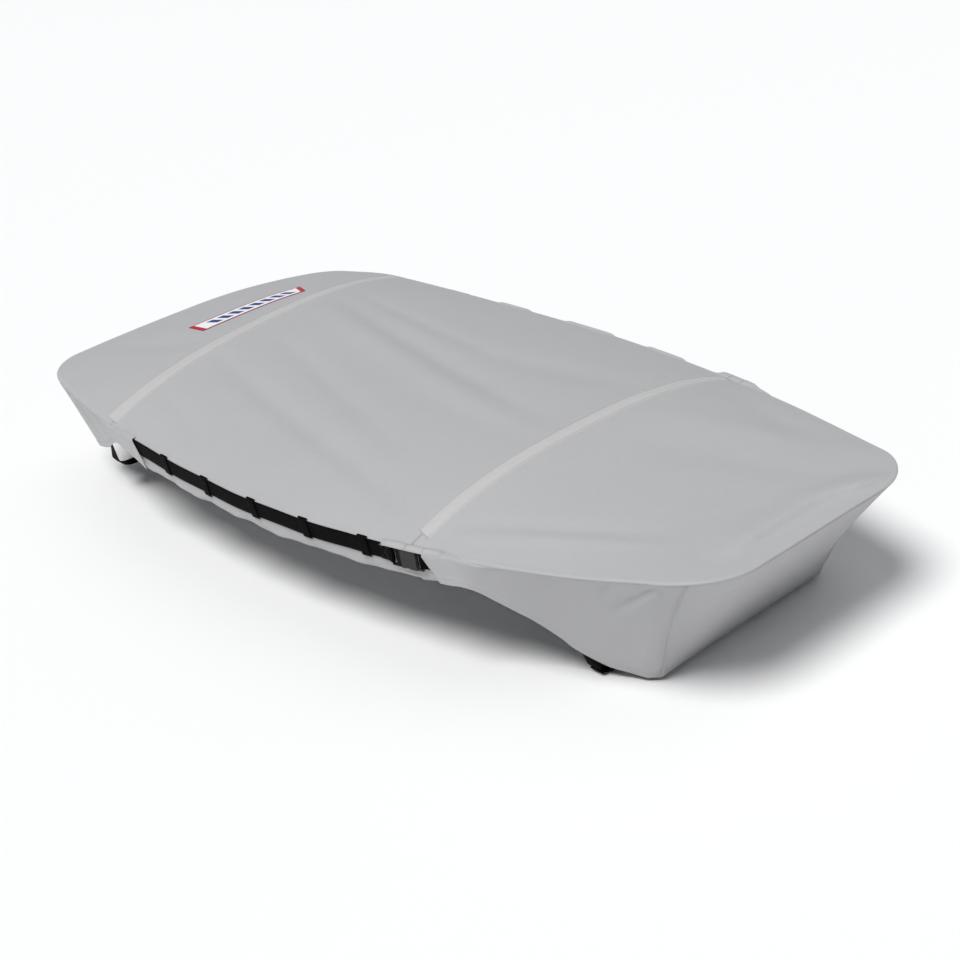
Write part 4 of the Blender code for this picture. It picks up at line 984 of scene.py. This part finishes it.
# ---- belt loops --------------------------------------------------------------------------
# Five short loops of narrow black webbing a side, sewn to the strip above and below the
# belt, which slides through them.
LOOP_PLACES = (-0.392, -0.204, -0.010, 0.176, 0.362)
LOOP_LEANS = (0.0105, 0.0080, 0.0110, 0.0096, 0.0078)    # a loop's lower end lies this much nearer the bow
LOOP_WIDTH, LOOP_THICK, LOOP_OVER, LOOP_GAP = 0.026, 0.0014, 0.005, 0.0004
for side, side_name in SIDES:
    face = LIE + BELT_THICK / 2 + LOOP_GAP + LOOP_THICK / 2
    low, high = BELT_TOP[side] - BELT_WIDTH - LOOP_OVER, BELT_TOP[side] + LOOP_OVER
    # round the belt from below, each point out and up from the gunwale's outline
    section = [(-0.0004, low + 0.0006), (0.0010, low), (face - 0.0007, low + 0.0004), (face, low + 0.0022),
               (face + 0.0005, (low + high) / 2), (face, high - 0.0022), (face - 0.0007, high - 0.0004)]
    if high > 0:                  # turned in over the top's edge, or ending against it
        section += [(0.0006, high), (-0.0012, high - 0.0016), (-0.0018, high - 0.0034)]
    else:
        section += [(0.0014, high)]
    out, height = np.array(section).T
    for number, (at, lean) in enumerate(zip(LOOP_PLACES, LOOP_LEANS), 1):
        along = at + lean * (high - height) / (high - low)
        edges = [side_point(along + half * LOOP_WIDTH, side, out, height) for half in (-0.5, 0.5)]
        make_webbing(f"loop_{side_name}_{number}", *edges[::-side], LOOP_THICK, "stretched",
                     [f"belt_{side_name}_webbing"])

# ---- buckles -----------------------------------------------------------------------------
# Side-release buckles of moulded black acetal: a forked clip in its socket. The solids have
# their shape already and keep it.
def moulded_acetal(name, colour, gloss):
    """Moulded acetal: finely grained, lightly scuffed, with rounded edges that catch the light."""
    finish, tree = new_material(name)
    place = (add(tree, "TexCoord"), "Object")
    grain = add(tree, "TexNoise", {"Vector": place, "Scale": 700.0, "Detail": 2.0})
    scuff = add(tree, "TexNoise", {"Vector": place, "Scale": 70.0, "Detail": 5.0, "Roughness": 0.7})
    worn = add(tree, "MapRange", (scuff, 0.35, 0.75, 0.8, 1.5))
    rough = add(tree, "MapRange", (scuff, 0.0, 1.0, 0.34, 0.52))
    tint = add(tree, "VectorMath", {0: rgb(colour)[:3], "Scale": worn}, operation="SCALE")
    edges_round = add(tree, "Bevel", {"Radius": 0.0007}, samples=4)
    bump = add(tree, "Bump", {"Height": grain, "Distance": 0.00015, "Strength": 0.4, "Normal": edges_round})
    return surface(finish, {"Base Color": tint, "Roughness": rough, "Normal": bump,
                            "Specular IOR Level": gloss})


clip_finish = moulded_acetal("moulded_black_acetal", "#0b0b0b", 0.06)
socket_finish = moulded_acetal("moulded_dark_grey_acetal", "#262627", 0.30)
for node_name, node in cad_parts.items():
    if node_name.startswith("buckle_"):
        node.material_slots[0].material = socket_finish if "socket" in node_name else clip_finish

# ---- straps under the hull ---------------------------------------------------------------
# Black webbing from hem to hem under each end of the hull, sewn inside the side skirts; the
# bow one is in two lengths, joined by a buckle by the starboard chine.
BOW_STRAP = table(
    "y z aft",
    (0.32, -0.254, 0.003), (0.314, -0.261, 0.004), (0.306, -0.264, 0.004), (0.15, -0.265, 0.004),
    (0, -0.266, 0.004))
STERN_STRAP = table(
    "y z aft",
    (0.48, -0.172, 0.014), (0.462, -0.196, 0.026), (0.44, -0.205, 0.03), (0.2, -0.211, 0.03),
    (0, -0.214, 0.03))
STRAP_BUCKLE_Y = -0.298
SEWN_UP_TO = (0.35, 0.18, 0.0)     # shares of the way from the foot to the point above it
STRAP_INSET, STRAP_BEHIND = 0.125, 0.0038     # in from the skirt's lines beside it, and behind the skirt


def foot_line(spec, side, row):
    """Foot and the point above it on a line of the skirt's table, as the solids have them."""
    lines = side_lines(spec, side).values()
    rim, normal, foot, proud, top, sag, _ = (values[row * COLUMN_STEPS] for values in lines)
    fall = ramp(rim[2] - foot[2], 0.07, 0.20)
    start = rim + normal * proud - UP * (top + START_BELOW)
    return foot, start + (foot - start) * 0.75 - normal * 4 * 0.75 * 0.25 * sag * fall


def strap_ends(spec, first, second, side):
    """Two edges of a strap's end, sewn inside a skirt down to its hem."""
    edges = []
    lines = foot_line(spec, side, first), foot_line(spec, side, second)
    for (foot, above), (far_foot, far_above) in (lines, lines[::-1]):
        edge = []
        for up in SEWN_UP_TO:
            start = foot + (above - foot) * up
            across = far_foot + (far_above - far_foot) * up - start
            normal = unit(np.cross(foot - above, across))
            behind = side * math.copysign(STRAP_BEHIND, normal[1])
            edge.append(start + across * STRAP_INSET - normal * behind)
        edges.append(edge)
    return edges


def strap_run(end_name, first, second, rows):
    """A strap's two edges, each in a starboard and a port half, the one nearer the stern first."""
    runs = []
    for near, far in zip(*(strap_ends(ENDS[end_name], first, second, side) for side in (-1, 1))):
        under = [[np.array((near[-1][0] - aft, side * y, z)) for y, z, aft in zip(*rows.values())]
                 for side in (-1, 1)]
        runs.append((near + under[0], under[1][-2::-1] + far[::-1]))
    return sorted(runs, key=lambda run: run[0][0][0])


def even_pair(*edges):
    """Both edges of a strap again, with their steps opposite each other and softened corners."""
    length = lengths(np.mean(edges, axis=0))
    at = np.linspace(0, length[-1], max(8, int(length[-1] / 0.006)))
    pair = np.array([sampled(np.array(edge), length, at) for edge in edges])
    for _ in range(2):
        pair[:, 1:-1] = (pair[:, :-2] + 2 * pair[:, 1:-1] + pair[:, 2:]) / 4
    return pair


(near_a, far_a), (near_b, far_b) = strap_run("stern", 7, 8, STERN_STRAP)
make_webbing("strap_stern", *even_pair(near_a + far_a, near_b + far_b), BELT_THICK, "hung",
             ["cloth_skirt_stern_starboard", "cloth_skirt_stern_port"])
level_z, clip_bar, end_bar = BOW_STRAP["z"][2], STRAP_BUCKLE_Y + BAR / 2, STRAP_BUCKLE_Y + socket_bar
turn = [(TURN_RADIUS * math.sin(angle), TURN_RADIUS - TURN_RADIUS * math.cos(angle))
        for angle in np.linspace(0, math.pi, 11)]
BULGE = 0.0036                # of the doubled webbing, just before its turn
short, long = [], []
for near, far in strap_run("bow", 8, 9, BOW_STRAP):
    folds = ([(clip_bar + y, out) for y, out in turn + [(-FOLD_START, BULGE), (-0.018, DOUBLED)]],
             [(end_bar - y, out) for y, out in
              [(-FOLD_BACK, DOUBLED), (-0.016, BULGE)] + turn[::-1] + [(-FOLD_START, 0.0)]])
    folds = [[np.array((near[5][0], y, level_z - out)) for y, out in fold] for fold in folds]
    short.append(near[:6] + folds[0])
    long.append(folds[1] + near[7:] + far)
make_webbing("strap_bow_short", *short, BELT_THICK, "hung", ["cloth_skirt_bow_starboard"])
make_webbing("strap_bow_long", *even_pair(*long), BELT_THICK, "hung", ["cloth_skirt_bow_port"])
